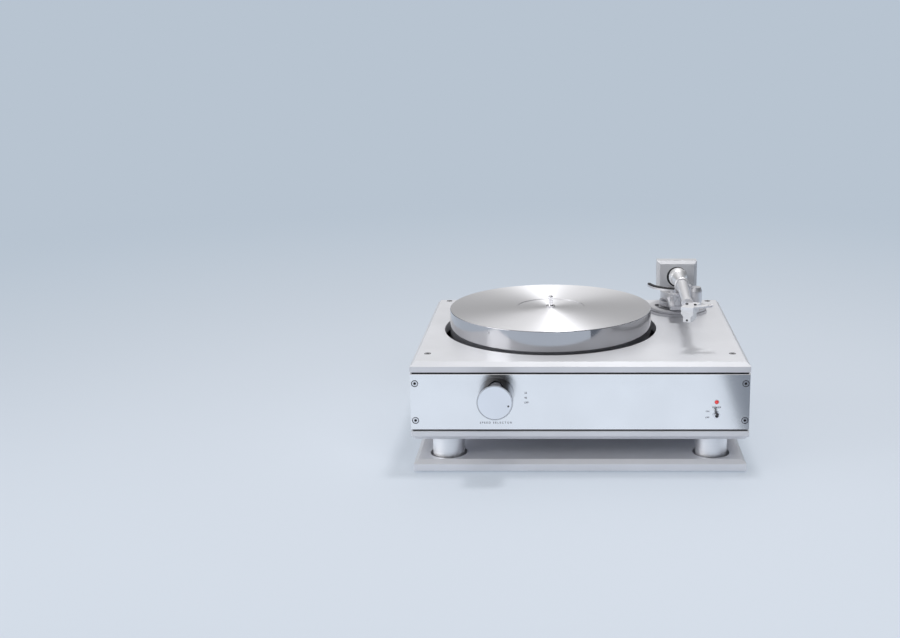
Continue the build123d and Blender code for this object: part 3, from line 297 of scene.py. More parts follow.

# %% The knob and the legs: turned sides, a satin face
# The knob's side is polished metal whose colour is painted dark: a painted dark reflection.
knob_side_painted_dark = turned(
    "knob_side_painted_dark", (0.26, 0.26, 0.28), 0.06, knob_centre, (0, 1, 0), anisotropy=0.0, depth=0.0000005
)[0]
knob_face = grainy("knob_face", (0.88, 0.89, 0.93), 0.22, scale=2200.0, depth=0.000003)
leg_names = [name for name in node if name.startswith("leg_")]
leg_finish = {
    name: turned(
        name + "_turned", (0.93, 0.93, 0.95), 0.50, middle(name), (0, 0, 1), anisotropy=0.0, depth=0.000001
    )[0]
    for name in leg_names
}
print("legs:", leg_names)

# %% [markdown]
# The lamp is a red lens with a light inside it. Light that comes from below the surface is what
# makes a lens glow, so it gets a little emission as well as a clear coat.

# %% The lamp's lens
lamp_red, lens = blank_material("lamp_red", (0.75, 0.03, 0.02), 0.12, metallic=0.0)
lens_noise = noise(lamp_red, object_place(lamp_red), 600.0)
join(lamp_red, tint(lamp_red, lens_noise, (0.62, 0.02, 0.02), (0.80, 0.06, 0.05)), lens.inputs["Base Color"])
lens.inputs["Emission Color"].default_value = (1.0, 0.10, 0.10, 1)
lens.inputs["Emission Strength"].default_value = 0.25
lens.inputs["Coat Weight"].default_value = 1.0

# %% Give every CAD node its finish
finish_of = {
    "base_plate": base_painted_lighter,
    "bottom_plate": plate_blasted,
    "top_plate": plate_blasted,
    "front_panel": panel_satin,
    "rear_panel": panel_satin,
    "side_panel_left": panel_satin,
    "side_panel_right": panel_satin,
    "platter": platter_turned,
    "sub_platter": inner_milled,
    "corner_posts": inner_milled,
    "sub_chassis": inner_milled,
    "standoffs": inner_milled,
    "bearing_housing": inner_milled,
    "plate_screws": screw_steel,
    "panel_screws": screw_steel,
    "sub_chassis_bolts": screw_steel,
    "hub_screws": black_screws_and_socket_shade,
    "headshell_screws": black_screws_and_socket_shade,
    "bearing_shaft": bearing_steel,
    "thrust_ball": bearing_steel,
    "spindle_collar": bearing_steel,
    "motor_pulley": bearing_steel,
    "bearing_bush": bush_brass,
    "base_pads": seal_rubber,
    "isolator_pucks": seal_rubber,
    "gasket_strips": seal_rubber,
    "lift_pad": seal_rubber,
    "decoupling_ring": seal_rubber,
    "drive_belt": seal_rubber,
    "speed_knob": knob_side_painted_dark,
    "toggle_body": switch_chrome,
    "toggle_lever": lever_black,
    "power_lamp": lamp_red,
    "mains_inlet": case_plastic,
    "selector_switch": case_plastic,
    "output_sockets": socket_brass,
    "ground_post": socket_brass,
    "motor": motor_steel,
    "transformer": motor_steel,
    "control_board": board_green,
    "arm_flange": arm_satin,
    "arm_pillar": arm_satin,
    "rest_bracket": arm_satin,
    "lift_arc": arm_satin,
    "antiskate_dial": arm_satin,
    "rest_clip": arm_satin,
    "cue_lever": arm_satin,
    "arm_yoke": arm_satin,
    "counterweight": weight_satin,
    "arm_hub": hub_satin,
    "tube_ring": hub_satin,
    "arm_tube": tube_satin,
    "headshell": tube_satin,
    "finger_lift": tube_satin,
    "cartridge": body_white,
    "stylus": bearing_steel,
    **leg_finish,
}
for name, piece in node.items():
    piece.data.materials.clear()
    piece.data.materials.append(finish_of[name])
print("nodes with a finish:", len(finish_of))

# %% [markdown]
# ## Modelling by hand, in code
# The pieces below are modelled with the same operators that a hand would call from the menus: a
# primitive, edit mode, extrude, inset, spin, and then modifiers that are applied. An operator
# works on whatever is selected, so each tool first makes sure that only its own piece is.


# %% Select one piece and nothing else
def alone(piece):
    bpy.ops.object.select_all(action="DESELECT")
    piece.select_set(True)
    bpy.context.view_layer.objects.active = piece


# %% Close the seams of a mesh and turn its faces outwards
seam = 0.002 * mm


def close_up():
    bpy.ops.mesh.select_all(action="SELECT")
    bpy.ops.mesh.remove_doubles(threshold=seam)
    bpy.ops.mesh.normals_make_consistent(inside=False)
    bpy.ops.object.mode_set(mode="OBJECT")


# %% [markdown]
# A lathe turns an outline about an axis. The outline starts as one point: a tiny plane is merged
# into it, the point is extruded from corner to corner, and Spin sweeps the line round.


# %% A lathe
def trace(name, spots):
    """Starts a piece as one point and extrudes it from spot to spot. Leaves edit mode on."""
    bpy.ops.object.select_all(action="DESELECT")
    bpy.ops.mesh.primitive_plane_add(size=mm, location=(0, 0, 0))
    piece = bpy.context.object
    piece.name = name
    bpy.ops.object.mode_set(mode="EDIT")
    bpy.ops.mesh.select_mode(type="VERT")
    bpy.ops.mesh.select_all(action="SELECT")
    bpy.ops.mesh.merge(type="CENTER")
    bpy.ops.transform.translate(value=spots[0])
    for here, there in zip(spots, spots[1:]):
        bpy.ops.mesh.extrude_region_move(TRANSFORM_OT_translate={"value": there - here})
    return piece


def lathe(name, outline, centre, axis, steps=96):
    """Turns an outline of (radius, place along the axis) about an axis."""
    along = Vector(axis)
    out = along.orthogonal().normalized()
    piece = trace(name, [Vector(centre) + out * radius + along * place for radius, place in outline])
    bpy.ops.mesh.select_all(action="SELECT")
    bpy.ops.mesh.spin(steps=steps, angle=math.tau, center=centre, axis=along)
    close_up()
    return piece


# %% [markdown]
# Real edges are never perfectly sharp. A small bevel gives each one a line of light, and shading
# that is smooth up to an angle keeps the flat faces flat. Weighted normals let the large faces
# decide, so that a bevel doesn't shade the flat face next to it.


# %% Soften the edges
def soften(piece, width, segments=2, sharp=40):
    alone(piece)
    bpy.ops.object.modifier_add(type="BEVEL")
    bevel = piece.modifiers[-1]
    bevel.width = width
    bevel.segments = segments
    bevel.limit_method = "ANGLE"
    bevel.angle_limit = math.radians(30)
    bpy.ops.object.modifier_apply(modifier=bevel.name)
    bpy.ops.object.shade_smooth_by_angle(angle=math.radians(sharp))
    bpy.ops.object.modifier_add(type="WEIGHTED_NORMAL")
    piece.modifiers[-1].keep_sharp = True
    bpy.ops.object.modifier_apply(modifier=piece.modifiers[-1].name)


# %% Cut a hole with another piece
def cut(piece, tool):
    alone(piece)
    bpy.ops.object.modifier_add(type="BOOLEAN")
    drill = piece.modifiers[-1]
    drill.object = tool
    drill.operation = "DIFFERENCE"
    bpy.ops.object.modifier_apply(modifier=drill.name)
    alone(tool)
    bpy.ops.object.delete()


# %% Put a piece in its place, and copy it
def settle(piece, place):
    """Moves a piece by a matrix and writes the move into its mesh."""
    alone(piece)
    piece.matrix_world = place
    bpy.ops.object.transform_apply(location=True, rotation=True, scale=True)


def copy_to(piece, name, place):
    """A copy with its own mesh."""
    alone(piece)
    bpy.ops.object.duplicate()
    twin = bpy.context.object
    twin.name = name
    settle(twin, place)
    return twin


# %% Give part of a piece another finish
def refinish(piece, finish, chosen):
    """Puts a finish on the faces that a test on their centre and normal chooses."""
    piece.data.materials.append(finish)
    for face in piece.data.polygons:
        if chosen(face.center, face.normal):
            face.material_index = len(piece.data.materials) - 1


# %% Say what a piece is made of, what carries it and what it stands for
def dress(piece, finish, slot, body, *stands_for):
    piece.data.materials.clear()
    piece.data.materials.append(finish)
    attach(piece, body)
    if stands_for:
        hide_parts(*stands_for)
    print(piece.name, "faces:", len(piece.data.polygons), "rides on", body)


# %% [markdown]
# ## Speed knob
# The knob is turned from a solid bar: a polished side, its colour painted dark as a painted reflection, with
# one fine groove near the front, a hairline groove round a satin face, and a round dimple that points at the
# speed. It is turned here in the same way, and the dimple is cut with a ball that only dips into the face.

# %% Turn the knob
knob_back = panel_face_y - 0.8 * mm
knob_front = knob_low.y
knob_shaft_radius = 3.0 * mm
knob_bevel = 0.5 * mm
knob_groove = 0.5 * mm
groove_from_front = 5.2 * mm
groove_width = 0.9 * mm
groove_low = knob_front + groove_from_front
gap_out = knob_radius - 1.1 * mm
gap_in = gap_out - 0.5 * mm
gap_deep = 0.6 * mm
knob_outline = [
    (0, knob_high.y),
    (knob_shaft_radius, knob_high.y),
    (knob_shaft_radius, knob_back),
    (knob_radius - knob_groove, knob_back),
    (knob_radius, knob_back - knob_groove),
    (knob_radius, groove_low + groove_width),
    (knob_radius - knob_groove, groove_low + groove_width),
    (knob_radius - knob_groove, groove_low),
    (knob_radius, groove_low),
    (knob_radius, knob_front + knob_bevel),
    (knob_radius - knob_bevel, knob_front),
    (gap_out, knob_front),
    (gap_out, knob_front + gap_deep),
    (gap_in, knob_front + gap_deep),
    (gap_in, knob_front),
    (0, knob_front),
]
knob = lathe("speed_knob_turned", knob_outline, (knob_centre.x, 0, knob_centre.z), (0, 1, 0), steps=128)

# %% Cut its dimple
dimple_from_axis = 19.5 * mm
dimple_turn = math.radians(-14.5)
dimple_radius = 2.0 * mm
dimple_lift = 1.3 * mm
dimple_x = knob_centre.x + dimple_from_axis * math.cos(dimple_turn)
dimple_z = knob_centre.z + dimple_from_axis * math.sin(dimple_turn)
bpy.ops.object.select_all(action="DESELECT")
bpy.ops.mesh.primitive_uv_sphere_add(
    segments=32, ring_count=16, radius=dimple_radius, location=(dimple_x, knob_front - dimple_lift, dimple_z)
)
cut(knob, bpy.context.object)
soften(knob, 0.12 * mm)
dress(knob, knob_side_painted_dark, "knob_metal", "knob", "speed_knob")
refinish(knob, knob_face, lambda centre, normal: centre.y < knob_front + 0.05 * mm and normal.y < -0.99)

# %% [markdown]
# ## Screws
# Twenty countersunk screws with a hexagon socket hold the panels and plates. Each sits in a thin
# black ring, which is painted shadow: it draws the dark ring of shade round its head. One screw is turned and
# its socket is cut with a six-sided bar, and the socket's inside is painted black as painted shade. The rest
# are copies, each with its own mesh.

# %% Model one screw, head upwards at the origin
screw_head = 4.25 * mm
screw_bevel = 0.35 * mm
screw_shank = 2.4 * mm
screw_length = 20.0 * mm
screw_sunk = 0.15 * mm
socket_radius = 2.1 * mm
socket_depth = 2.2 * mm
screw_outline = [
    (0, -screw_sunk),
    (screw_head - screw_bevel, -screw_sunk),
    (screw_head, -screw_sunk - screw_bevel),
    (screw_shank, -screw_sunk - screw_bevel - screw_head + screw_shank),
    (screw_shank, -screw_length),
    (0, -screw_length),
]
screw = lathe("screw_master", screw_outline, (0, 0, 0), (0, 0, 1), steps=48)
bpy.ops.object.select_all(action="DESELECT")
bpy.ops.mesh.primitive_cylinder_add(vertices=6, radius=socket_radius, depth=2 * socket_depth)
cut(screw, bpy.context.object)
soften(screw, 0.08 * mm, segments=1)

# %% Model one ring of painted shadow
shade_ring_in, shade_ring_out, shade_ring_proud, shade_ring_deep = 4.3 * mm, 5.0 * mm, 0.12 * mm, 0.4 * mm
shade_ring_outline = [
    (shade_ring_in, shade_ring_proud),
    (shade_ring_out, shade_ring_proud),
    (shade_ring_out, -shade_ring_deep),
    (shade_ring_in, -shade_ring_deep),
    (shade_ring_in, shade_ring_proud),
]
shade_ring = lathe("shade_ring_master", shade_ring_outline, (0, 0, 0), (0, 0, 1), steps=48)
soften(shade_ring, 0.08 * mm, segments=2)

# %% [markdown]
# A screw's place is a matrix: a turn that points its head out of the plate, and then its spot.
# The spots are worked out from the boxes of the CAD nodes, so the copies sit in the same holes.

# %% The spots and turns of the screws
cad_head = 4.7 * mm
facing_up = Matrix.Identity(4)
facing_down = Matrix.Rotation(math.pi, 4, "X")
facing_front = Matrix.Rotation(math.pi / 2, 4, "X")
facing_rear = Matrix.Rotation(-math.pi / 2, 4, "X")
plate_low, plate_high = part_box("plate_screws")
panel_low, panel_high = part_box("panel_screws")
post_depth = 13.9 * mm
post_front_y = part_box("corner_posts")[0].y + post_depth / 2
bottom_low_z, bottom_high_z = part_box("bottom_plate")[0].z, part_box("bottom_plate")[1].z
places = {"panel_screws": [], "plate_screws": []}
for side in (-1, 1):
    panel_x = side * (panel_high.x - cad_head)
    post_x = side * (plate_high.x - cad_head)
    for z in (panel_low.z + cad_head, panel_high.z - cad_head):
        places["panel_screws"].append(Matrix.Translation((panel_x, panel_face_y, z)) @ facing_front)
        places["panel_screws"].append(Matrix.Translation((panel_x, rear_face_y, z)) @ facing_rear)
    for y in (post_front_y, plate_high.y - cad_head):
        places["plate_screws"].append(Matrix.Translation((post_x, y, deck_z)) @ facing_up)
        places["plate_screws"].append(Matrix.Translation((post_x, y, bottom_low_z)) @ facing_down)
for name in leg_names:
    leg = middle(name)
    places["plate_screws"].append(Matrix.Translation((leg.x, leg.y, bottom_high_z)) @ facing_up)
print("screws:", sum(len(spots) for spots in places.values()))


# %% Copy screws and rings of painted shadow to their spots
def in_socket(place):
    """A test for the faces inside a screw's socket."""
    inward = place.to_3x3() @ Vector((0, 0, 1))
    spot = place.to_translation()

    def inside(centre, normal):
        away = centre - spot
        depth = away.dot(inward)
        return depth < -screw_sunk - 0.1 * mm and (away - inward * depth).length < socket_radius * 1.01

    return inside


for replaced, spots in places.items():
    for number, place in enumerate(spots, 1):
        twin = copy_to(screw, f"{replaced[:-1]}_{number}", place)
        dress(twin, screw_steel, "screw_steel", "chassis", replaced)
        # The socket's inside is painted black: painted shade in the recess.
        refinish(twin, black_screws_and_socket_shade, in_socket(place))
        ring = copy_to(shade_ring, f"{replaced[:-1]}_washer_{number}", place)
        # The ring is a black piece that is painted shadow: it stands for the shade in the gap round the head.
        dress(ring, seal_rubber, "black_plastic", "chassis")
for master in (screw, shade_ring):
    alone(master)
    bpy.ops.object.delete()

# %% [markdown]
# ## Legs
# Each leg is a turned post that stands in a well of the base plate. A chamfer at its foot and a
# fine groove just above the plate are what the lathe left, so the leg is turned again with both.

# %% Turn the legs
leg_groove = 0.4 * mm
leg_groove_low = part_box("base_plate")[1].z + 3.0 * mm
leg_groove_high = leg_groove_low + 0.7 * mm
leg_chamfer = 0.6 * mm
for name in leg_names:
    low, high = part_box(name)
    radius = (high.x - low.x) / 2
    leg_outline = [
        (0, low.z),
        (radius - leg_chamfer, low.z),
        (radius, low.z + leg_chamfer),
        (radius, leg_groove_low),
        (radius - leg_groove, leg_groove_low),
        (radius - leg_groove, leg_groove_high),
        (radius, leg_groove_high),
        (radius, high.z),
        (0, high.z),
    ]
    leg = lathe(name + "_post", leg_outline, (middle(name).x, middle(name).y, 0), (0, 0, 1))
    soften(leg, 0.1 * mm)
    dress(leg, leg_finish[name], "leg_metal", "chassis", name)

# %% [markdown]
# ## Lamp
# The lens is a low dome, and a thin bright bezel holds it in the panel. The dome's outline is a
# few points on a circle's arc, which Spin then sweeps round.

# %% Turn the lens and its bezel
lens_radius = (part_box("power_lamp")[1].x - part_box("power_lamp")[0].x) / 2
lens_rise = 1.3 * mm
lens_steps = 8
lens_depth = 14.0 * mm
lens_outline = [(0, panel_face_y - lens_rise)]
for step in range(1, lens_steps + 1):
    turn = math.radians(90) * step / lens_steps
    lens_outline.append((lens_radius * math.sin(turn), panel_face_y - lens_rise * math.cos(turn)))
lens_outline += [(lens_radius, panel_face_y + lens_depth), (0, panel_face_y + lens_depth)]
lens_piece = lathe("power_lamp_lens", lens_outline, (lamp_centre.x, 0, lamp_centre.z), (0, 1, 0), steps=48)
alone(lens_piece)
bpy.ops.object.shade_smooth_by_angle(angle=math.radians(50))
dress(lens_piece, lamp_red, "lamp_red", "chassis", "power_lamp")
bezel_width = 0.7 * mm
bezel_rise = 0.35 * mm
bezel_outline = [
    (lens_radius, panel_face_y),
    (lens_radius, panel_face_y - bezel_rise),
    (lens_radius + bezel_width, panel_face_y - bezel_rise),
    (lens_radius + bezel_width, panel_face_y),
    (lens_radius, panel_face_y),
]
bezel = lathe("power_lamp_bezel", bezel_outline, (lamp_centre.x, 0, lamp_centre.z), (0, 1, 0), steps=48)
soften(bezel, 0.12 * mm)
dress(bezel, switch_chrome, "switch_chrome", "chassis")

# %% [markdown]
# ## Printed words
# The front has a few plain words: the speeds beside the knob, what the knob sets, and ON and OFF
# beside the switch. Printing is a thin layer of paint, so each word is a text object a fiftieth
# of a millimetre thick. It is made a mesh first, and then stood up against the panel.

# %% Print the words
print_thickness = 0.02 * mm
print_weight = 0.08 * mm


def word(name, text, x, z, height, spacing=1.0):
    bpy.ops.object.select_all(action="DESELECT")
    bpy.ops.object.text_add(location=(0, 0, 0))
    letters = bpy.context.object.data
    letters.body = text
    letters.size = height
    letters.space_character = spacing
    letters.align_x, letters.align_y = "CENTER", "CENTER"
    letters.extrude = print_thickness / 2
    letters.offset = print_weight
    bpy.ops.object.convert(target="MESH")
    printed = bpy.context.object
    printed.name = name
    settle(printed, Matrix.Translation((x, panel_face_y - print_thickness / 2, z)) @ facing_front)
    dress(printed, print_grey, "black_plastic", "chassis")


speed_x = knob_centre.x + 41.6 * mm
word("word_33", "33", speed_x, knob_centre.z + 2.5 * mm, 3.8 * mm)
word("word_45", "45", speed_x, knob_centre.z - 4.6 * mm, 3.8 * mm)
word("word_stop", "OFF", speed_x + 1.0 * mm, knob_centre.z - 11.8 * mm, 3.6 * mm)
word("word_speed", "SPEED SELECTOR", knob_centre.x - 1.2 * mm, knob_centre.z - 41.7 * mm, 3.9 * mm, 1.62)
switch_x = toggle_centre.x
word("word_power", "POWER", switch_x, toggle_centre.z + 11.1 * mm, 3.4 * mm, 1.1)
word("word_on", "ON", switch_x - 12.8 * mm, toggle_centre.z + 5.2 * mm, 3.2 * mm)
word("word_off", "OFF", switch_x - 12.8 * mm, toggle_centre.z - 3.9 * mm, 3.2 * mm)

# %% [markdown]
# ## Slots of the tonearm's flange
# The flange has curved slots, and a black strip in each is painted shade that makes them look dark. A flat
# strip is one small plane that Spin sweeps about the arm's upright axis. Spin turns clockwise seen from above
# here, so the axis points down to go the other way.

# %% Paint shade into the slots
slot_radius = 34.0 * mm
shade_strip_width = 6.4 * mm
shade_strip_thick = 0.3 * mm
shade_strip_over = math.radians(3.5)
shade_strip_steps = 12
slot_floor = 4.0 * mm
shade_strip_z = deck_z + slot_floor + shade_strip_thick / 2
slot_middles_and_spans = ((178, 20), (222, 38), (2, 20), (318, 38), (90, 50))
# A black strip with almost no shine, laid in each slot: painted shade.
slot_shade_black = grainy("slot_shade_black", (0.006, 0.006, 0.008), 0.9, scale=3000.0, depth=0.00005, metallic=0.0)
slot_shade_black.node_tree.nodes["Principled BSDF"].inputs["Specular IOR Level"].default_value = 0.05
for number, (centre_deg, span_deg) in enumerate(slot_middles_and_spans, 1):
    start = math.radians(centre_deg - span_deg / 2) - shade_strip_over
    sweep = math.radians(span_deg) + 2 * shade_strip_over
    bpy.ops.object.select_all(action="DESELECT")
    bpy.ops.mesh.primitive_plane_add(size=1, location=(0, 0, 0))
    shade_strip = bpy.context.object
    shade_strip.name = f"slot_shade_strip_{number}"
    size = Matrix.Diagonal((shade_strip_width, shade_strip_thick, 1, 1))
    stand = Matrix.Rotation(start, 4, "Z") @ Matrix.Translation((slot_radius, 0, 0)) @ facing_front
    settle(shade_strip, Matrix.Translation((arm_centre.x, arm_centre.y, shade_strip_z)) @ stand @ size)
    bpy.ops.object.mode_set(mode="EDIT")
    bpy.ops.mesh.select_all(action="SELECT")
    arm_foot = (arm_centre.x, arm_centre.y, 0)
    bpy.ops.mesh.spin(steps=shade_strip_steps, angle=sweep, center=arm_foot, axis=(0, 0, -1))
    close_up()
    dress(shade_strip, slot_shade_black, "pad_rubber", "chassis")

# %% [markdown]
# ## Cartridge
# The cartridge is broad where it meets the headshell and narrow below. Its outline is traced from
# corner to corner, filled, and extruded to the cartridge's length. A shallow oval recess and a
# round window are then cut into its front, and the bevel comes last.

# %% The cartridge's own axes
shell_yaw = math.radians(23)
shell_forward = Vector((-math.sin(shell_yaw), -math.cos(shell_yaw), 0))
shell_right = Vector((math.cos(shell_yaw), -math.sin(shell_yaw), 0))
cartridge_length, cartridge_wide, cartridge_foot = 29.0 * mm, 18.0 * mm, 11.6 * mm
cartridge_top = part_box("cartridge")[1].z
cartridge_high = cartridge_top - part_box("cartridge")[0].z
cartridge_front = middle("cartridge") + shell_forward * cartridge_length / 2
shoulder_drop, shoulder_slope = 7.0 * mm, 3.0 * mm
cartridge_axes = Matrix((shell_right, (0, 0, 1), shell_forward)).transposed().to_4x4()
front_of_cartridge = (
    Matrix.Translation((cartridge_front.x, cartridge_front.y, cartridge_top)) @ cartridge_axes
)

# %% Trace, fill and extrude it
half, foot = cartridge_wide / 2, cartridge_foot / 2
waist = -shoulder_drop - shoulder_slope
corners = [
    Vector((-half, 0, 0)),
    Vector((half, 0, 0)),
    Vector((half, -shoulder_drop, 0)),
    Vector((foot, waist, 0)),
    Vector((foot, -cartridge_high, 0)),
    Vector((-foot, -cartridge_high, 0)),
    Vector((-foot, waist, 0)),
    Vector((-half, -shoulder_drop, 0)),
]
cartridge = trace("cartridge_body", corners)
bpy.ops.mesh.select_all(action="SELECT")
bpy.ops.mesh.edge_face_add()
bpy.ops.mesh.extrude_region_move(TRANSFORM_OT_translate={"value": (0, 0, -cartridge_length)})
close_up()

# %% Cut the recess and the window in its front
recess_drop, recess_wide, recess_tall, recess_deep = 3.6 * mm, 10.0 * mm, 3.0 * mm, 0.5 * mm
window_drop, window_radius, window_deep = 15.6 * mm, 1.7 * mm, 0.8 * mm


def disc(drop, radius_x, radius_y, depth):
    """A flat oval tool on the front face."""
    bpy.ops.object.select_all(action="DESELECT")
    bpy.ops.mesh.primitive_cylinder_add(vertices=40, radius=1, depth=2, location=(0, -drop, 0))
    bpy.context.object.scale = (radius_x, radius_y, depth)
    return bpy.context.object


cut(cartridge, disc(recess_drop, recess_wide / 2, recess_tall / 2, recess_deep))
cut(cartridge, disc(window_drop, window_radius, window_radius, window_deep))
soften(cartridge, 0.35 * mm, segments=3)
dress(cartridge, body_white, "cartridge_white", "arm", "cartridge")
# The window's floor is painted black: painted shade in the recess.
refinish(
    cartridge,
    black_screws_and_socket_shade,
    lambda centre, normal: abs(centre.z + window_deep) < 0.02 * mm and centre.y < waist,
)
settle(cartridge, front_of_cartridge)

# %% [markdown]
# ## Sockets at the back
# The two output sockets are told apart by a coloured ring, and the mains inlet has metal pins.
# The rings are turned, and each pin is a small box with rounded ends.

# %% Turn the coloured rings
ring_white = grainy("ring_white", (0.75, 0.75, 0.72), 0.35, metallic=0.0)
ring_red = grainy("ring_red", (0.55, 0.02, 0.02), 0.35, metallic=0.0)
sockets_low, sockets_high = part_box("output_sockets")
socket_flange = 6.5 * mm
ring_in, ring_out, ring_thick = 4.2 * mm, 5.9 * mm, 1.4 * mm
flange_thick = 2.5 * mm
flange_top = rear_face_y + flange_thick
for name, x, finish in (
    ("ring_left", sockets_high.x - socket_flange, ring_white),
    ("ring_right", sockets_low.x + socket_flange, ring_red),
):
    ring_outline = [
        (ring_in, flange_top),
        (ring_out, flange_top),
        (ring_out, flange_top + ring_thick),
        (ring_in, flange_top + ring_thick),
        (ring_in, flange_top),
    ]
    ring = lathe(name, ring_outline, (x, 0, middle("output_sockets").z), (0, 1, 0), steps=48)
    soften(ring, 0.2 * mm)
    dress(ring, finish, "black_plastic", "chassis")

# %% Sleeve the inlet's pins
inlet_centre = middle("mains_inlet")
pin_spread, pin_rise = 7.0 * mm, 2.0 * mm
sleeve_wide, sleeve_tall, sleeve_long = 2.2 * mm, 4.2 * mm, 15.0 * mm
mouth_depth = 18.0 * mm
mouth_floor_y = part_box("mains_inlet")[1].y - mouth_depth
for number, (x, z) in enumerate(((-pin_spread, -pin_rise), (0, pin_rise), (pin_spread, -pin_rise)), 1):
    bpy.ops.object.select_all(action="DESELECT")
    bpy.ops.mesh.primitive_cube_add(
        size=1, location=(inlet_centre.x + x, mouth_floor_y + sleeve_long / 2, inlet_centre.z + z)
    )
    pin = bpy.context.object
    pin.name = f"inlet_pin_{number}"
    pin.scale = (sleeve_wide, sleeve_long, sleeve_tall)
    bpy.ops.object.transform_apply(location=True, rotation=True, scale=True)
    soften(pin, 0.5 * mm, segments=3)
    dress(pin, screw_steel, "screw_steel", "chassis")

# %% [markdown]
# ## Studio
# Bare metal shows what is round it, so the studio is part of the finish. A small soft box high
# above drops the arm's shadow on the deck, and a low one at the left lights the legs and the
# platter's rim from that side. A third in front fills the deck and the plates' front edges, and
# is kept out of reflections so that the metal still shows a dim front. The pale floor in front is
# what the front panel mirrors. Near the object it is matt, and far off it is an even pale grey.


# %% Floor
floor_near, floor_far = 0.35, 2.4
floor_glow_near, floor_glow_mirrored = 0.45, 0.25


def floor_material():
    """Matt and pale round the object, and an even colour far off, where only the camera looks."""
    material, shader = blank_material("floor_paint", paint(216, 221, 230), 0.8, metallic=0.0)
    shader.inputs["Specular IOR Level"].default_value = 0.1
    place = object_place(material)
    length = add_node(material, "ShaderNodeVectorMath", operation="LENGTH")
    join(material, place, length.inputs[0])
    away = add_node(material, "ShaderNodeMapRange", interpolation_type="SMOOTHSTEP")
    away.inputs["From Min"].default_value = floor_near
    away.inputs["From Max"].default_value = floor_far
    away.inputs["To Min"].default_value = floor_glow_near
    join(material, length.outputs["Value"], away.inputs["Value"])
    sight = add_node(material, "ShaderNodeLightPath")
    looked_at = add_node(material, "ShaderNodeMath", operation="MAXIMUM")
    join(material, sight.outputs["Is Camera Ray"], looked_at.inputs[0])
    join(material, sight.outputs["Is Glossy Ray"], looked_at.inputs[1])
    seen = add_node(material, "ShaderNodeMath", operation="MULTIPLY")
    join(material, away.outputs["Result"], seen.inputs[0])
    join(material, looked_at.outputs["Value"], seen.inputs[1])
    near_and_far = add_node(material, "ShaderNodeValToRGB")
    near_and_far.color_ramp.elements[0].position = 0.5
    near_and_far.color_ramp.elements[0].color = (*paint(207, 219, 232), 1)
    near_and_far.color_ramp.elements[1].color = (*far_grey, 1)
    join(material, away.outputs["Result"], near_and_far.inputs["Fac"])
    glow = add_node(material, "ShaderNodeEmission")
    join(material, near_and_far.outputs["Color"], glow.inputs["Color"])
    mirrored = add_node(material, "ShaderNodeMath", operation="MULTIPLY_ADD")
    mirrored.inputs[1].default_value = floor_glow_mirrored
    mirrored.inputs[2].default_value = 1.0
    join(material, sight.outputs["Is Glossy Ray"], mirrored.inputs[0])
    join(material, mirrored.outputs["Value"], glow.inputs["Strength"])
    blend = add_node(material, "ShaderNodeMixShader")
    join(material, seen.outputs["Value"], blend.inputs["Fac"])
    join(material, shader.outputs["BSDF"], blend.inputs[1])
    join(material, glow.outputs["Emission"], blend.inputs[2])
    join(material, blend.outputs["Shader"], material.node_tree.nodes["Material Output"].inputs["Surface"])
    return material


floor_radius = 300.0
bpy.ops.object.select_all(action="DESELECT")
bpy.ops.mesh.primitive_circle_add(vertices=96, radius=floor_radius, fill_type="NGON")
floor = bpy.context.object
floor.name = "floor"
floor.data.materials.append(floor_material())


# %% Lights
def soft_box(name, place, target, width, depth, power):
    """An area light that faces a point."""
    light = bpy.data.lights.new(name, "AREA")
    light.shape = "RECTANGLE"
    light.size = width
    light.size_y = depth
    light.energy = power
    lamp = bpy.data.objects.new(name, light)
    bpy.context.scene.collection.objects.link(lamp)
    lamp.location = place
    lamp.rotation_euler = (Vector(target) - Vector(place)).to_track_quat("-Z", "Y").to_euler()
    lamp.visible_camera = False
    return lamp


soft_box("box_above", (0.12, -0.05, 1.7), (0, 0, 0.15), 0.22, 0.22, 10.0)
soft_box("box_left", (-1.45, -0.9, 0.45), (0, 0, 0.15), 0.8, 0.5, 5.5)
box_front = soft_box("box_front", (0.7, -1.5, 1.3), (0, 0, 0.1), 0.8, 0.8, 8.0)
box_front.visible_glossy = False

# %% [markdown]
# A dark card stands close by at the right, where only reflections see it. Photographers use such
# a card to give bare metal a dark end, and here it darkens the right end of the front panel.

# %% Dark card
card_paint, card_shader = blank_material("card_paint", (0.02, 0.02, 0.02), 0.9, metallic=0.0)
card_shader.inputs["Emission Color"].default_value = (*paint(118, 126, 138), 1)
card_shader.inputs["Emission Strength"].default_value = 1.0
card_wide, card_tall, card_lean = 0.30, 0.40, math.radians(-18)
card_edge = Vector((0.233, -0.33, 0.066))
bpy.ops.object.select_all(action="DESELECT")
bpy.ops.mesh.primitive_plane_add(size=1, location=(0, 0, 0))
card = bpy.context.object
card.name = "dark_card"
card.data.materials.append(card_paint)
card_size = Matrix.Diagonal((card_wide, card_tall, 1, 1))
card_turn = Matrix.Rotation(card_lean, 4, "Y")
card_middle = Matrix.Translation((card_wide / 2, 0, 0))
settle(card, Matrix.Translation(card_edge) @ card_turn @ card_middle @ facing_front @ card_size)
card.visible_camera = False
card.visible_diffuse = False
card.visible_shadow = False

# %% [markdown]
# The sky is not one even colour either. It glows softly overhead, high behind the object and low
# at the left, and stays dim in front, so the platter's rim and the knob keep their dark bands.

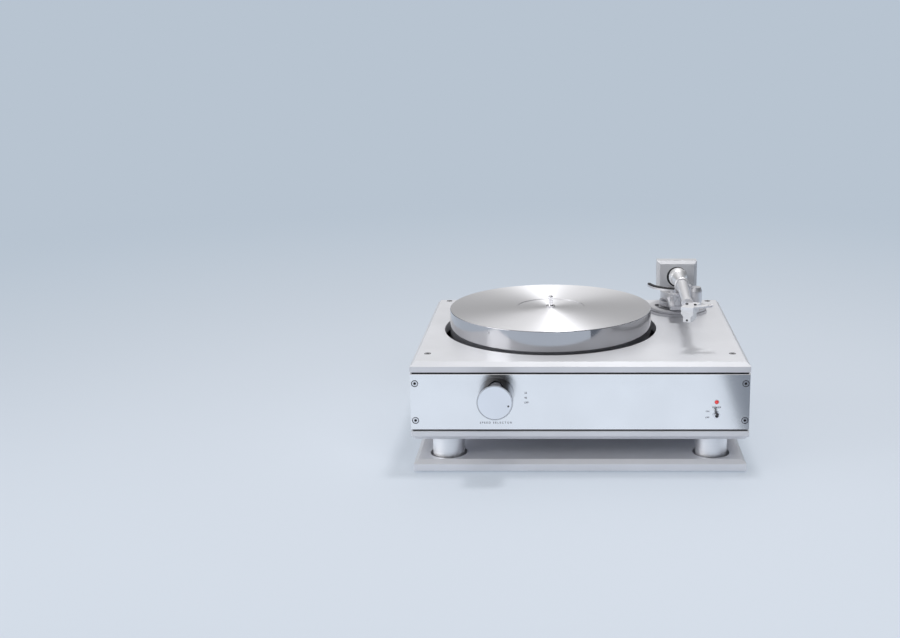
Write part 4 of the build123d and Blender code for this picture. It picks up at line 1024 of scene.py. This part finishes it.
# %% Sky
world = bpy.data.worlds.new("sky")
bpy.context.scene.world = world
world.use_nodes = True
sky = world.node_tree
direction = sky.nodes.new("ShaderNodeTexCoord")
bright = None
glow_narrowness, dim_front = 8.0, 0.03
glows = (
    ((0, 0, 1), 1.0),
    ((0, 0.64, 0.77), 0.95),
    ((-0.97, 0, 0.26), 1.3),
    ((0, 0.97, 0.26), 0.25),
    ((-0.68, -0.68, 0.26), 0.6),
)
for towards, strength in glows:
    facing = sky.nodes.new("ShaderNodeVectorMath")
    facing.operation = "DOT_PRODUCT"
    facing.inputs[1].default_value = towards
    sky.links.new(direction.outputs["Generated"], facing.inputs[0])
    lit = sky.nodes.new("ShaderNodeMath")
    lit.operation = "MAXIMUM"
    lit.inputs[1].default_value = 0.0
    sky.links.new(facing.outputs["Value"], lit.inputs[0])
    narrow = sky.nodes.new("ShaderNodeMath")
    narrow.operation = "POWER"
    narrow.inputs[1].default_value = glow_narrowness
    sky.links.new(lit.outputs["Value"], narrow.inputs[0])
    added = sky.nodes.new("ShaderNodeMath")
    added.operation = "MULTIPLY_ADD"
    added.inputs[1].default_value = strength
    added.inputs[2].default_value = dim_front
    sky.links.new(narrow.outputs["Value"], added.inputs[0])
    if bright:
        sky.links.new(bright, added.inputs[2])
    bright = added.outputs["Value"]
sight = sky.nodes.new("ShaderNodeLightPath")
seen_or_not = sky.nodes.new("ShaderNodeMix")
seen_or_not.data_type = "RGBA"
sky.links.new(sight.outputs["Is Camera Ray"], seen_or_not.inputs["Factor"])
sky.links.new(bright, seen_or_not.inputs[6])
seen_or_not.inputs[7].default_value = (*far_grey, 1)
sky.links.new(seen_or_not.outputs[2], sky.nodes["Background"].inputs["Color"])
bpy.context.scene.view_settings.view_transform = "Standard"

# %% [markdown]
# ## Camera
# The picture was taken from above and from a little left of the object's middle. Its upright
# edges stay nearly parallel, as with a shifted lens, so the camera looks down by only twelve
# degrees, and its shift moves the object to its place right of the middle and below it.

# %% Camera
camera_data = bpy.data.cameras.new("camera")
camera = bpy.data.objects.new("camera", camera_data)
bpy.context.scene.collection.objects.link(camera)
camera.location = (-0.01484, -1.86115, 0.64759)
camera.rotation_euler = (math.radians(90 - 12.015), 0, 0)
camera_data.sensor_width = 36.0
camera_data.lens = 49.09
camera_data.shift_x = -0.13313
camera_data.shift_y = -0.05
bpy.context.scene.camera = camera
